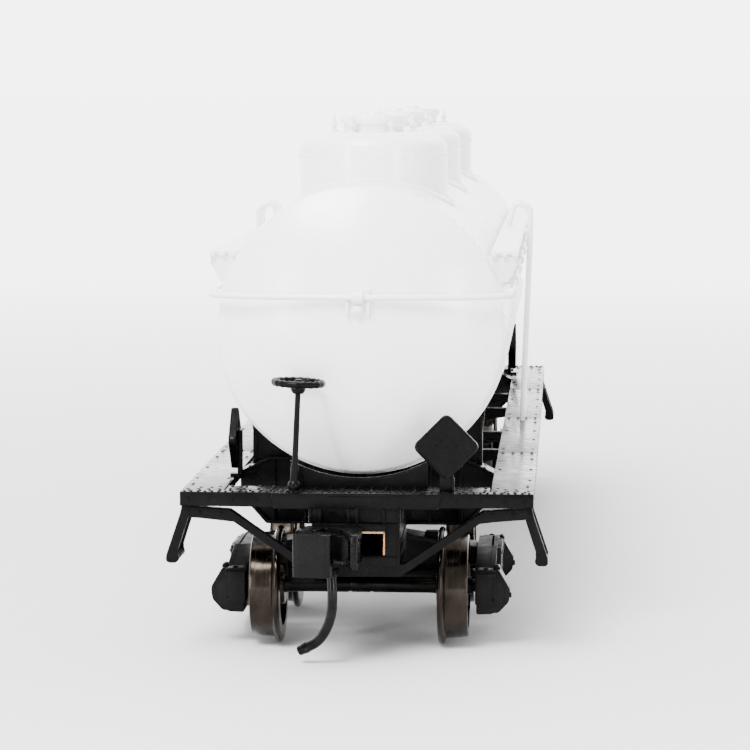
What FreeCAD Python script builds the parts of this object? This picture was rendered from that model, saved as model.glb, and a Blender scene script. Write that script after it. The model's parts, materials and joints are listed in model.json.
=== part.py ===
import FreeCAD, Part
import math
import os
import re

import Sketcher

# Three-dome tank wagon in HO scale (1:87.1), built as a kit of separate pieces.
# Frame: X along the wagon with +X at the brake-wheel end, +Y on the right of someone who faces that end,
# +Z up. The origin is on the ground under the middle of the wagon, where the wheel flanges touch. Pieces
# that occur at both ends are built for the +X end and turned half round Z for the other.

SIZES = {
    "frame_length": 126.0,
    "frame_width": 32.0,
    "board_top": 14.9,
    "board_thickness": 1.3,
    "board_width": 3.9,
    "tank_radius": 13.2,
    "tank_height": 29.2,
    "tank_wall": 0.9,
    "tank_length": 114.0,
    "rim_length": 1.4,
    "head_depth": 3.5,
    "sheet_thickness": 0.4,
    "sheet_length": 110.0,
    "dome_radius": 7.2,
    "dome_spacing": 37.5,
    "dome_top": 47.0,
    "lid_radius": 3.3,
    "lid_height": 1.7,
    "rail_height": 32.4,
    "rail_radius": 0.28,
    "rail_gap": 0.9,
    "rail_post_pitch": 18.1,
    "walkway_height": 35.7,
    "walkway_width": 2.5,
    "walkway_length": 106.0,
    "sill_width": 7.2,
    "sill_bottom": 12.4,
    "box_bottom": 8.3,
    "box_top": 12.2,
    "box_width": 8.0,
    "box_length": 11.0,
    "mouth_width": 5.3,
    "coupler_height": 10.5,
    "coupler_pivot": 55.7,
    "truck_spacing": 92.8,
    "wheelbase": 19.25,
    "axle_height": 5.44,
    "tread_radius": 4.8,
    "flange_radius": 5.44,
    "wheel_width": 2.8,
    "back_to_back": 14.4,
    "axle_radius": 0.8,
    "frame_inside": 10.6,
    "frame_outside": 12.4,
    "truck_top": 9.6,
    "side_frame_top": 8.2,
    "staff_length": 9.6,
    "running_gap": 0.08,
}

HALF_TURN = 180.0
TWIN_PLACES = [("0", "0", "0", 0.0), ("0", "0", "0", HALF_TURN)]
ORIGIN = FreeCAD.Vector(0, 0, 0)
UP = FreeCAD.Vector(0, 0, 1)
PLANES = {"XY": "XY_Plane", "XZ": "XZ_Plane", "YZ": "YZ_Plane"}
AXIS_TURNS = {
    "X": FreeCAD.Rotation(FreeCAD.Vector(0, 1, 0), 90),
    "Y": FreeCAD.Rotation(FreeCAD.Vector(1, 0, 0), -90),
    "Z": FreeCAD.Rotation(),
}

doc = FreeCAD.newDocument("TankWagon")
sheet = doc.addObject("Spreadsheet::Sheet", "Sizes")
for row, (alias, size) in enumerate(SIZES.items(), start=1):
    sheet.set("A%d" % row, alias)
    sheet.set("B%d" % row, str(size))
    sheet.setAlias("B%d" % row, alias)
doc.recompute()

nodes = {}


def bound(text):
    """An expression with each size's name pointing at the spreadsheet."""
    return re.sub(r"\b([a-z]\w*)\b(?!\()", r"Sizes.\1", str(text))


def number(text):
    """The value that an expression has now."""
    return float(sheet.evalExpression(bound(text)))


def bind(item, prop, text):
    item.setExpression(prop, bound(text))


def solid(kind, name):
    return doc.addObject(kind, name)


def block(name, x, y, z):
    """A box from its low and high limits along each axis."""
    item = solid("Part::Box", name)
    for prop, axis, (low, high) in (("Length", "x", x), ("Width", "y", y), ("Height", "z", z)):
        bind(item, prop, "(%s) - (%s)" % (high, low))
        bind(item, "Placement.Base." + axis, low)
    return item


def rod(name, axis, radius, start, length):
    """A cylinder that begins at start and runs along an axis."""
    item = solid("Part::Cylinder", name)
    bind(item, "Radius", radius)
    bind(item, "Height", length)
    item.Placement = FreeCAD.Placement(ORIGIN, AXIS_TURNS[axis])
    for name_of_axis, text in zip("xyz", start):
        bind(item, "Placement.Base." + name_of_axis, text)
    return item


def fuse(name, *items):
    item = solid("Part::MultiFuse", name)
    item.Shapes = list(items)
    return item


def cut(name, base, *tools):
    """The base with every tool taken away."""
    for step, tool in enumerate(tools):
        item = solid("Part::Cut", "%s_cut%d" % (name, step))
        item.Base = base
        item.Tool = tool
        base = item
    return base


def common(name, one, other):
    item = solid("Part::Common", name)
    item.Base = one
    item.Tool = other
    return item


def group(name, items):
    """Several separate solids that share one node."""
    item = solid("Part::Compound", name)
    item.Links = list(items)
    return item


def copies(name, make, places):
    """The same piece made once for each (x, y, z, angle) place."""
    items = []
    for number_of_copy, (x, y, z, angle) in enumerate(places):
        items.append(put(make("%s%d" % (name, number_of_copy)), x, y, z, angle))
    return items


def put(item, x="0", y="0", z="0", angle=0.0):
    """Moves a piece, after a turn about the vertical. A primitive keeps its own place inside a group."""
    if item.TypeId in ("Part::Box", "Part::Cylinder"):
        item = group(item.Name + "_placed", [item])
    item.Placement = FreeCAD.Placement(ORIGIN, FreeCAD.Rotation(UP, angle))
    for axis, text in zip("xyz", (x, y, z)):
        bind(item, "Placement.Base." + axis, text)
    return item


def node(label, item):
    """Names a finished piece, which becomes one file."""
    item.Label = label
    nodes[label] = item
    return item


def draw(sketch, points):
    """A closed outline. A point is (across, up), or (across, up, radius, side) where an arc leaves it."""
    flat = [FreeCAD.Vector(number(point[0]), number(point[1]), 0) for point in points]
    ends = []
    for index, point in enumerate(points):
        here = flat[index]
        there = flat[(index + 1) % len(points)]
        if len(point) == 2:
            sketch.addGeometry(Part.LineSegment(here, there), False)
        else:
            radius = number(point[2])
            chord = there - here
            middle = (here + there) * 0.5
            square = FreeCAD.Vector(-chord.y, chord.x, 0).normalize()
            rise = radius - math.sqrt(radius ** 2 - (chord.Length / 2) ** 2)
            sketch.addGeometry(Part.Arc(here, middle - square * rise * point[3], there), False)
            sketch.setExpression(
                "Constraints[%d]" % sketch.addConstraint(Sketcher.Constraint("Radius", index, radius)),
                bound(point[2]))
        starts_here = (sketch.getPoint(index, 1) - here).Length < (sketch.getPoint(index, 2) - here).Length
        ends.append((1, 2) if starts_here else (2, 1))
    for index, point in enumerate(points):
        after = (index + 1) % len(points)
        sketch.addConstraint(Sketcher.Constraint("Coincident", index, ends[index][1], after, ends[after][0]))
        for kind, axis, text in (("DistanceX", -2, point[0]), ("DistanceY", -1, point[1])):
            place = number(text)
            if abs(place) < 1e-9:
                sketch.addConstraint(Sketcher.Constraint("PointOnObject", index, ends[index][0], axis))
                continue
            row_of_constraint = sketch.addConstraint(
                Sketcher.Constraint(kind, -1, 1, index, ends[index][0], place))
            sketch.setExpression("Constraints[%d]" % row_of_constraint, bound(text))


def outline(name, plane, points):
    """A body with one sketch on one of its own origin planes."""
    body = solid("PartDesign::Body", name)
    sketch = body.newObject("Sketcher::SketchObject", name + "_outline")
    face = [item for item in body.Origin.OriginFeatures if item.Role == PLANES[plane]][0]
    sketch.AttachmentSupport = [(face, "")]
    sketch.MapMode = "FlatFace"
    draw(sketch, points)
    return body, sketch


def plate(name, plane, points, low, high):
    """An outline with a thickness, from low to high along the plane's axis."""
    body, sketch = outline(name, plane, points)
    offset = "0 - (%s)" % high if plane == "XZ" else low
    sketch.setExpression("AttachmentOffset.Base.z", bound(offset))
    pad = body.newObject("PartDesign::Pad", name + "_pad")
    pad.Profile = sketch
    bind(pad, "Length", "(%s) - (%s)" % (high, low))
    return body


def turned(name, plane, points, axis):
    """An outline revolved a full turn about the plane's H (across) or V (up) axis."""
    body, sketch = outline(name, plane, points)
    turn = body.newObject("PartDesign::Revolution", name + "_turn")
    turn.Profile = sketch
    turn.ReferenceAxis = (sketch, [axis + "_Axis"])
    turn.Angle = 360
    return body


def bent_rod(points, radius, bend):
    """A round rod along straight runs joined by arcs."""
    corners = [FreeCAD.Vector(*point) for point in points]
    edges = []
    start = corners[0]
    for before, corner, after in zip(corners, corners[1:], corners[2:]):
        back = (before - corner).normalize()
        ahead = (after - corner).normalize()
        half_turn = (math.pi - back.getAngle(ahead)) / 2
        trim = min(bend * math.tan(half_turn), 0.45 * min((before - corner).Length, (after - corner).Length))
        arc_radius = trim / math.tan(half_turn)
        into = corner + back * trim
        out = corner + ahead * trim
        inward = (back + ahead).normalize()
        middle = corner + inward * (arc_radius / math.cos(half_turn) - arc_radius)
        edges.append(Part.LineSegment(start, into).toShape())
        edges.append(Part.Arc(into, middle, out).toShape())
        start = out
    edges.append(Part.LineSegment(start, corners[-1]).toShape())
    path = Part.Wire(edges)
    circle = Part.Circle(corners[0], corners[1] - corners[0], radius)
    section = Part.Wire([circle.toShape()])
    return path.makePipeShell([section], True, False)


def shaped(name, shape):
    item = solid("Part::Feature", name)
    item.Shape = shape
    return item


def both_ends(label, make, names=("front", "rear")):
    """The piece at the +X end and its twin, turned half round, each in a node of its own."""
    for name, angle in zip(names, (0.0, HALF_TURN)):
        node("%s_%s" % (label, name), put(make("%s_%s" % (label, name)), angle=angle))


def twins(label, make):
    """The piece and its half-turned twin as two solids of one node."""
    node(label, group(label, copies(label + "_", make, TWIN_PLACES)))


# ---------------------------------------------------------------- tank

def tank_cylinder(name, radius, half_length):
    return rod(name, "X", radius, ("0 - (%s)" % half_length, "0", "tank_height"), "2 * (%s)" % half_length)


def make_barrel():
    half = "tank_length / 2 - rim_length"
    outer = tank_cylinder("barrel_outside", "tank_radius", half)
    inner = tank_cylinder("barrel_inside", "tank_radius - tank_wall", half + " + 1")
    node("tank_barrel", cut("tank_barrel", outer, inner))


def make_bottom_sheet():
    """A thicker sheet wrapped round the lower part of the barrel."""
    half = "sheet_length / 2"
    edge_drop = "tank_radius * sin(10deg)"
    outer = tank_cylinder("sheet_outside", "tank_radius + sheet_thickness", half)
    inner = tank_cylinder("sheet_inside", "tank_radius", half + " + 1")
    ring = cut("sheet_ring", outer, inner)
    below = block("sheet_limit", ("0 - sheet_length", "sheet_length"), ("0 - 20", "20"),
                  ("0", "tank_height - " + edge_drop))
    node("tank_bottom_sheet", common("tank_bottom_sheet", ring, below))


def make_head(name):
    """A dished end with a straight rim and a spigot that plugs into the barrel."""
    rim_back = "tank_length / 2 - rim_length"
    rim_front = "tank_length / 2"
    crown = "tank_length / 2 + head_depth"
    dish_radius = "(tank_radius ^ 2 + head_depth ^ 2) / (2 * head_depth)"
    inner_radius = "tank_radius - tank_wall"
    points = [
        (rim_back, inner_radius),
        (rim_back, "tank_radius"),
        (rim_front, "tank_radius", dish_radius, -1),
        (crown, "0"),
        (crown + " - 1", "0"),
        (rim_front + " - 0.6", inner_radius + " - 0.8"),
        (rim_back + " - 2", inner_radius + " - 0.8"),
        (rim_back + " - 2", inner_radius),
    ]
    return put(turned(name, "XZ", points, "H"), z="tank_height")


def make_heads():
    for name, angle in (("front", 0.0), ("rear", HALF_TURN)):
        item = make_head("tank_head_" + name)
        node("tank_head_" + name, put(item, z="tank_height", angle=angle))


def make_dome(name):
    """A closed drum with a rounded shoulder, saddled to the barrel, with a flat seat for its lid."""
    wall = "0.9"
    foot = "tank_height + 9"
    points = [
        ("0", "dome_top"),
        ("dome_radius - 1.7", "dome_top"),
        ("dome_radius - 0.5", "dome_top - 0.8", "0.9", -1),
        ("dome_radius", "dome_top - 1.6"),
        ("dome_radius", foot),
        ("dome_radius - " + wall, foot),
        ("dome_radius - " + wall, "dome_top - 1.9"),
        ("dome_radius - 1.9", "dome_top - " + wall),
        ("0", "dome_top - " + wall),
    ]
    return turned(name + "_drum", "XZ", points, "V")


def make_domes():
    for name, place in (("front", "dome_spacing"), ("middle", "0"), ("rear", "0 - dome_spacing")):
        drum = put(make_dome("dome_" + name), x=place)
        barrel = tank_cylinder("dome_%s_barrel" % name, "tank_radius", "60")
        node("dome_" + name, cut("dome_" + name, drum, barrel))


def make_lid(name):
    """A manway lid: a low drum with a chamfered top and a lifting boss."""
    top = "dome_top + lid_height"
    points = [
        ("0", "dome_top"),
        ("lid_radius", "dome_top"),
        ("lid_radius", top + " - 0.3"),
        ("lid_radius - 0.3", top),
        ("0.7", top),
        ("0.7", top + " + 0.3"),
        ("0", top + " + 0.3"),
    ]
    return turned(name, "XZ", points, "V")


def dome_places():
    return [("dome_spacing", "0", "0", 0.0), ("0", "0", "0", 0.0), ("0 - dome_spacing", "0", "0", 0.0)]


def make_lid_bolt(name):
    """An eye bolt: a stem with a thicker nut low down."""
    stem = rod(name + "_stem", "Z", "0.25", ("lid_radius + 0.55", "0", "dome_top"), "1.6")
    nut = rod(name + "_nut", "Z", "0.42", ("lid_radius + 0.55", "0", "dome_top + 0.6"), "0.5")
    return fuse(name, stem, nut)


def make_dome_fittings():
    node("manway_lids", group("manway_lids", copies("lid_", make_lid, dome_places())))
    bolts = []
    for place in dome_places():
        around = [place[:3] + (30.0 + 60.0 * step,) for step in range(6)]
        bolts += copies("bolt%d_" % len(bolts), make_lid_bolt, around)
    node("manway_lid_bolts", group("manway_lid_bolts", bolts))
    valves = []
    for number_of_dome, place in enumerate(dome_places()):
        base = (place[0] + " - 4.85", "0", "dome_top")
        stem = rod("valve_stem%d" % number_of_dome, "Z", "0.32", base, "1.2")
        cap = rod("valve_cap%d" % number_of_dome, "Z", "0.5", base[:2] + ("dome_top + 0.5",), "0.6")
        valves.append(fuse("valve%d" % number_of_dome, stem, cap))
    node("safety_valves", group("safety_valves", valves))


def make_ballast():
    """A steel bar that lies on the floor of the barrel."""
    bar = block("ballast_bar", ("0 - 45", "45"), ("0 - 7", "7"), ("tank_height - 11.5", "tank_height - 6.5"))
    inside = tank_cylinder("ballast_limit", "tank_radius - tank_wall", "50")
    node("ballast_weight", common("ballast_weight", bar, inside))


def rail_offset():
    """How far out from the centre line the side handrail runs."""
    return number("sqrt(tank_radius ^ 2 - (rail_height - tank_height) ^ 2) + rail_gap")


def make_handrails():
    """Two side rails along the tank and a rail bent round each head."""
    across = rail_offset()
    height = number("rail_height")
    end = number("3 * rail_post_pitch")
    front = number("tank_length / 2 + head_depth + 0.4")
    radius = number("rail_radius")
    rails = []
    for side in (-1, 1):
        rails.append(shaped("side_rail", bent_rod([(-end, side * across, height),
                                                   (end, side * across, height)], radius, 1.0)))
    half = [
        (end, across),
        (front - 3.6, across),
        (front - 1.3, 0.75 * across),
        (front - 0.4, 0.4 * across),
        (front, 0.12 * across),
    ]
    for turn in (-1, 1):
        points = [(turn * along, turn * side, height) for along, side in half]
        points += [(turn * along, -turn * side, height) for along, side in reversed(half)]
        rails.append(shaped("end_rail", bent_rod(points, radius, 8.0)))
    node("handrails", group("handrails", rails))


def make_stanchion(name):
    """A side post: an eye round the rail on a stub from the tank."""
    across = rail_offset()
    stub = rod(name + "_stub", "Y", "0.35", ("0", "11", "rail_height"), "%.4f - 11.3" % across)
    eye = rod(name + "_eye", "X", "rail_radius + 0.3", ("0 - 0.45", "%.4f" % across, "rail_height"), "0.9")
    hole = rod(name + "_hole", "X", "rail_radius", ("0 - 1", "%.4f" % across, "rail_height"), "2")
    tank = tank_cylinder(name + "_tank", "tank_radius", "3")
    return cut(name, fuse(name + "_post", stub, eye), hole, tank)


def make_end_bracket(name):
    """The bracket on the middle of the head that carries the end rail."""
    front = "tank_length / 2 + head_depth"
    arm = block(name + "_arm", (front + " - 2", front + " + 0.9"), ("0 - 0.9", "0.9"),
                ("rail_height - 1.1", "rail_height + 1.1"))
    notch = rod(name + "_notch", "Y", "rail_radius + 0.02", (front + " + 0.4", "0 - 3", "rail_height"), "6")
    dish = solid("Part::Sphere", name + "_dish")
    radius = "(tank_radius ^ 2 + head_depth ^ 2) / (2 * head_depth)"
    bind(dish, "Radius", radius)
    bind(dish, "Placement.Base.x", front + " - " + radius)
    bind(dish, "Placement.Base.z", "tank_height")
    return cut(name, arm, notch, dish)


def make_stanchions():
    places = []
    for step in range(-3, 4):
        for angle in (0.0, HALF_TURN):
            places.append(("%d * rail_post_pitch" % step, "0", "0", angle))
    posts = copies("stanchion", make_stanchion, places)
    posts += copies("end_bracket", make_end_bracket, [("0", "0", "0", 0.0), ("0", "0", "0", HALF_TURN)])
    node("handrail_stanchions", group("handrail_stanchions", posts))


def walkway_inside():
    return "sqrt(tank_radius ^ 2 - (walkway_height - tank_height) ^ 2) + 0.35"


def make_walkway(name):
    """A narrow board high on the tank's side."""
    inside = walkway_inside()
    return block(name, ("0 - walkway_length / 2", "walkway_length / 2"),
                 (inside, inside + " + walkway_width"), ("walkway_height", "walkway_height + 0.5"))


def make_walkway_bracket(name):
    """A triangular gusset under the walkway."""
    inside = walkway_inside()
    tip = inside + " + walkway_width"
    points = [
        (inside + " - 1.4", "walkway_height"),
        (inside + " + 0.8", "walkway_height - 2.4"),
        (inside + " + 1.6", "walkway_height - 2.4"),
        (tip, "walkway_height - 0.6"),
        (tip, "walkway_height"),
    ]
    web = plate(name + "_web", "YZ", points, "0 - 0.35", "0.35")
    tank = tank_cylinder(name + "_tank", "tank_radius", "3")
    return cut(name, web, tank)


def make_walkways():
    twins("side_walkways", make_walkway)
    places = []
    for step in (-2, -1, 0, 1, 2):
        for angle in (0.0, HALF_TURN):
            places.append(("%d * (walkway_length / 4 - 0.35)" % step, "0", "0", angle))
    node("walkway_brackets", group("walkway_brackets", copies("bracket", make_walkway_bracket, places)))


def make_ladder(name):
    """A side ladder from the running board up to the walkway, with its stiles curved over at the top."""
    inside = number(walkway_inside())
    foot = number("frame_width / 2") - 1.9
    top = number("walkway_height") + 2.6
    outer = inside + number("walkway_width") + 0.5
    stiles = []
    for side in (-2.0, 2.0):
        points = [
            (side, foot, number("board_top")),
            (side, outer, number("walkway_height") - 1.0),
            (side, outer, top - 0.2),
            (side, outer - 1.6, top + 0.6),
            (side, outer - 2.3, number("walkway_height") + 0.62),
        ]
        stiles.append(bent_rod(points, 0.3, 1.0))
    ladder = stiles[0].fuse(stiles[1])
    rise = number("walkway_height") - number("board_top")
    for step in range(1, 7):
        height = number("board_top") + rise * (step - 0.1) / 6.2
        across = foot + (outer - foot) * (height - number("board_top")) / (rise - 1.0)
        rung = Part.makeCylinder(0.25, 4.0, FreeCAD.Vector(-2.0, across, height), FreeCAD.Vector(1, 0, 0))
        ladder = ladder.fuse(rung)
    return shaped(name, ladder)


# ---------------------------------------------------------------- underframe

STAFF_PLACE = ("frame_length / 2 - 0.7", "0 - 5.7", "board_top")
STAFF_LEAN = 2.6


def make_centre_sill():
    """A hat-shaped spine, open below between the bolsters, with screw holes at the boxes and pivots."""
    beam = block("sill_beam", ("0 - frame_length / 2 + 1.4", "frame_length / 2 - 1.4"),
                 ("0 - sill_width / 2", "sill_width / 2"), ("sill_bottom", "board_top"))
    channel = block("sill_channel", ("0 - 38", "38"), ("0 - sill_width / 2 + 0.9", "sill_width / 2 - 0.9"),
                    ("sill_bottom - 1", "board_top - 0.9"))
    holes = []
    for sign in ("", "0 - "):
        holes.append(rod("sill_hole%d" % len(holes), "Z", "0.7", (sign + "coupler_pivot", "0", "0"), "14"))
        holes.append(rod("sill_hole%d" % len(holes), "Z", "1", (sign + "truck_spacing / 2", "0", "0"), "14"))
    node("centre_sill", cut("centre_sill", beam, channel, *holes))


def make_running_board(name):
    """A long side board with a strip along its outer edge."""
    half = "frame_length / 2 - 1.4"
    outer = "frame_width / 2"
    top = block(name + "_top", ("0 - (%s)" % half, half), (outer + " - board_width", outer),
                ("board_top - 0.8", "board_top"))
    edge = block(name + "_edge", ("0 - (%s)" % half, half), (outer + " - 0.9", outer),
                 ("board_top - board_thickness", "board_top"))
    return fuse(name, top, edge)


def make_end_sill(name):
    """The cross beam at the end: a raised plate in the middle, and a deeper part with ribs over the coupler."""
    back = "frame_length / 2 - 1.4"
    front = "frame_length / 2"
    half = "frame_width / 2"
    points = [
        ("0 - (%s)" % half, "board_top"),
        ("0 - (%s)" % half, "board_top - board_thickness"),
        ("0 - 4.3", "board_top - board_thickness"),
        ("0 - 4.3", "board_top - 2.7"),
        ("4.3", "board_top - 2.7"),
        ("4.3", "board_top - board_thickness"),
        (half, "board_top - board_thickness"),
        (half, "board_top"),
    ]
    beam = plate(name + "_beam", "YZ", points, back, front)
    deck = block(name + "_deck", ("frame_length / 2 - 4.4", back), ("0 - 12", "12"),
                 ("board_top - 0.8", "board_top"))
    raised = block(name + "_raised", (front, front + " + 0.3"), ("0 - 7.6", "7.6"),
                   ("board_top - board_thickness - 0.15", "board_top"))
    sill = block(name + "_sill", ("0", back), ("0 - sill_width / 2", "sill_width / 2"), ("0", "20"))
    ribs = []
    for place in ("0 - 3.7", "0 - 0.4", "3"):
        ribs.append(block("%s_rib%d" % (name, len(ribs)), (front, front + " + 0.5"), (place, place + " + 0.9"),
                          ("board_top - 2.7", "board_top - 0.4")))
    return fuse(name, beam, raised, cut(name + "_platform", deck, sill), *ribs)


def make_body_bolster(name):
    """The tapered cross beam over a truck, reaching from one running board to the other."""
    reach = "frame_width / 2 - board_width"
    points = [
        ("0 - (%s)" % reach, "board_top - 2.2"),
        ("0 - 9.6", "truck_top + 0.3"),
        ("9.6", "truck_top + 0.3"),
        (reach, "board_top - 2.2"),
        (reach, "board_top"),
        ("9.2", "16.3"),
        ("0 - 9.2", "16.3"),
        ("0 - (%s)" % reach, "board_top"),
    ]
    beam = plate(name + "_beam", "YZ", points, "truck_spacing / 2 - 1.6", "truck_spacing / 2 + 1.6")
    pad = rod(name + "_pad", "Z", "2.8", ("truck_spacing / 2", "0", "truck_top + 0.15"), "11 - truck_top")
    hole = rod(name + "_hole", "Z", "1", ("truck_spacing / 2", "0", "0"), "14")
    sill = block(name + "_sill", ("0", "frame_length"), ("0 - sill_width / 2", "sill_width / 2"),
                 ("sill_bottom", "board_top"))
    tank = tank_cylinder(name + "_tank", "tank_radius + sheet_thickness", "60")
    saddle = block(name + "_saddle", ("truck_spacing / 2 - 0.6", "truck_spacing / 2 + 0.6"),
                   ("0 - 11.4", "11.4"), ("board_top", "30"))
    return cut(name, fuse(name + "_whole", beam, pad), hole, sill, tank, saddle)


def make_saddle(name):
    """The upright plate that follows the underside of the tank."""
    points = [
        ("0 - 10.6", "board_top"),
        ("10.6", "board_top"),
        ("11.2", "21"),
        ("0 - 11.2", "21"),
    ]
    web = plate(name + "_web", "YZ", points, "truck_spacing / 2 - 0.6", "truck_spacing / 2 + 0.6")
    tank = tank_cylinder(name + "_tank", "tank_radius + sheet_thickness", "60")
    return cut(name, web, tank)


def make_cradle(name):
    """The low curved plate that stands on the end platform, close under the end of the tank."""
    web = block(name + "_web", ("frame_length / 2 - 4.3", "frame_length / 2 - 3.8"), ("0 - 6.3", "6.3"),
                ("board_top", "board_top + 2.5"))
    return cut(name, web, tank_cylinder(name + "_tank", "tank_radius + 0.2", "60"))


def make_saddles():
    saddles = copies("saddle", make_saddle, TWIN_PLACES) + copies("cradle", make_cradle, TWIN_PLACES)
    node("tank_saddles", group("tank_saddles", saddles))


def make_cross_bearer(name):
    """A tapered bracket from the centre sill out to a running board."""
    reach = "frame_width / 2 - board_width"
    points = [
        ("sill_width / 2", "board_top - 0.1"),
        ("sill_width / 2", "sill_bottom + 0.1"),
        (reach, "board_top - 1.1"),
        (reach, "board_top - 0.1"),
    ]
    return plate(name, "YZ", points, "0 - 0.6", "0.6")


def make_cross_bearers():
    places = []
    for place in ("0 - 28", "0 - 12", "12", "28"):
        for angle in (0.0, HALF_TURN):
            places.append((place, "0", "0", angle))
    node("cross_bearers", group("cross_bearers", copies("bearer", make_cross_bearer, places)))


def make_step(name):
    """A stirrup step that hangs from the end of a running board and leans outwards."""
    drop = 4.8
    low = number("board_top - board_thickness")
    half = number("frame_width / 2")
    end = number("frame_length / 2") - 0.5
    points = [
        (end, half - 0.45, low),
        (end, half - 0.45, low - 0.7),
        (end, half + 0.95, low - drop),
        (end - 4.2, half + 0.95, low - drop),
        (end - 4.2, half - 0.45, low - 0.7),
        (end - 4.2, half - 0.45, low),
    ]
    return shaped(name, bent_rod(points, 0.42, 0.8))


def make_steps():
    steps = []
    for angle in (0.0, HALF_TURN):
        steps.append(put(make_step("corner_step%d" % len(steps)), angle=angle))
    for angle in (0.0, HALF_TURN):
        shape = make_step("mirrored_step%d" % len(steps)).Shape.mirror(ORIGIN, FreeCAD.Vector(0, 1, 0))
        steps.append(put(shaped("corner_step%d" % len(steps), shape), angle=angle))
    node("corner_steps", group("corner_steps", steps))


def make_end_brace(name):
    """A flat bar that dips from the corners of the end sill to pass under the coupler box."""
    thick = "1.05"
    points = [("15", "13.55"), ("11.4", "13.3"), ("4.4", "8.25")]
    points += [("0 - 4.4", "8.25"), ("0 - 11.4", "13.3"), ("0 - 15", "13.55")]
    points += [("0 - 15", "13.55 - " + thick), ("0 - 11.1", "13.3 - " + thick)]
    points += [("0 - 4.0", "8.25 - " + thick), ("4.0", "8.25 - " + thick)]
    points += [("11.1", "13.3 - " + thick), ("15", "13.55 - " + thick)]
    bar = plate(name + "_bar", "YZ", points, "frame_length / 2 - 1.2", "frame_length / 2 - 0.3")
    deep = block(name + "_sill", ("50", "70"), ("0 - 8", "8"), ("board_top - 2.75", "20"))
    return cut(name, bar, deep)


def make_coupler_box(name):
    """The draft gear box under the sill: a roof, two sides and a back, open at the mouth and below."""
    back = "frame_length / 2 + 0.3 - box_length"
    front = "frame_length / 2 + 0.3"
    half = "box_width / 2"
    shell = block(name + "_shell", (back, front), ("0 - " + half, half), ("box_bottom + 0.9", "box_top"))
    room = block(name + "_room", (back + " + 0.8", front + " - 1.2"), ("0 - 3.2", "3.2"),
                 ("box_bottom - 1", "coupler_height + 0.95"))
    mouth = block(name + "_mouth", (back + " + 3", front + " + 1"),
                  ("0 - mouth_width / 2", "mouth_width / 2"), ("box_bottom - 1", "coupler_height + 0.95"))
    screw = rod(name + "_screw", "Z", "0.7", ("coupler_pivot", "0", "0"), "14")
    return cut(name, shell, room, mouth, screw)


def make_box_lid(name):
    """The plate that closes a coupler box from below, with the post that the coupler swings on."""
    back = "frame_length / 2 + 0.3 - box_length"
    front = "frame_length / 2 + 0.3"
    half = "box_width / 2"
    cover = block(name + "_cover", (back, front), ("0 - " + half, half), ("box_bottom", "box_bottom + 0.9"))
    post = rod(name + "_post", "Z", "1.1", ("coupler_pivot", "0", "box_bottom"),
               "coupler_height + 0.95 - box_bottom")
    screw = rod(name + "_hole", "Z", "0.7", ("coupler_pivot", "0", "0"), "14")
    return cut(name, fuse(name + "_whole", cover, post), screw)


def make_centring_spring(name):
    """A thin bronze liner spring: a leaf under the roof of the box and one down each side of the mouth."""
    front = "frame_length / 2 - 0.1"
    back = "frame_length / 2 - 5"
    top = "coupler_height + 0.95"
    half = "mouth_width / 2"
    leaf = block(name + "_leaf", (back, front), ("0 - " + half, half), (top + " - 0.14", top))
    sides = []
    for low in ("0 - " + half, half + " - 0.14"):
        sides.append(block("%s_side%d" % (name, len(sides)), (back, front), (low, low + " + 0.14"),
                           ("box_bottom + 0.9", top)))
    return fuse(name, leaf, *sides)


def make_screws():
    """Screws up through the coupler boxes and the truck pivots."""
    screws = []
    for sign in ("", "0 - "):
        name = "screw%d" % len(screws)
        place = sign + "coupler_pivot"
        shank = rod(name + "_shank", "Z", "0.7", (place, "0", "box_bottom"), "13.5 - box_bottom")
        head = rod(name + "_head", "Z", "1.3", (place, "0", "box_bottom - 0.6"), "0.6")
        screws.append(fuse(name, shank, head))
        name = "screw%d" % len(screws)
        place = sign + "truck_spacing / 2"
        shank = rod(name + "_shank", "Z", "1", (place, "0", "4.6"), "9")
        head = rod(name + "_head", "Z", "1.7", (place, "0", "3.9"), "0.9")
        screws.append(fuse(name, shank, head))
    node("frame_screws", group("frame_screws", screws))


def leaning(name, items):
    """The pieces of the brake stand, tilted together about the foot of the staff."""
    item = group(name + "_tilted", items)
    item.Placement = FreeCAD.Placement(ORIGIN, FreeCAD.Rotation(FreeCAD.Vector(1, 0, 0), -STAFF_LEAN))
    for axis, text in zip("xyz", STAFF_PLACE):
        bind(item, "Placement.Base." + axis, text)
    return item


def make_brake_stand():
    """The staff on the end platform and the hand wheel on top of it, leaning slightly to the right."""
    foot = rod("staff_foot", "Z", "0.62", STAFF_PLACE, "0.5")
    base = ("0", "0", "0")
    staff = rod("staff_shaft", "Z", "0.26", base, "staff_length")
    lower = rod("staff_lower", "Z", "0.36", base, "4.6")
    collar = rod("staff_collar", "Z", "0.5", ("0", "0", "0.5"), "0.4")
    above_deck = block("staff_limit", ("50", "70"), ("0 - 20", "20"), ("board_top", "40"))
    leaning_staff = leaning("staff", [fuse("staff_upright", staff, lower, collar)])
    node("brake_staff", fuse("brake_staff", foot, common("staff_above", leaning_staff, above_deck)))
    rim = solid("Part::Torus", "wheel_rim")
    bind(rim, "Radius1", "2.15")
    bind(rim, "Radius2", "0.32")
    bind(rim, "Placement.Base.z", "staff_length + 0.3")
    hub = rod("wheel_hub", "Z", "0.6", ("0", "0", "staff_length"), "0.6")
    spokes = []
    for step in range(5):
        spoke = block("spoke%d" % step, ("0", "2.1"), ("0 - 0.17", "0.17"), ("0 - 0.14", "0.14"))
        spokes.append(put(spoke, "0", "0", "staff_length + 0.3", 72.0 * step))
    node("brake_wheel", leaning("wheel", [fuse("wheel_upright", rim, hub, *spokes)]))


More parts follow.
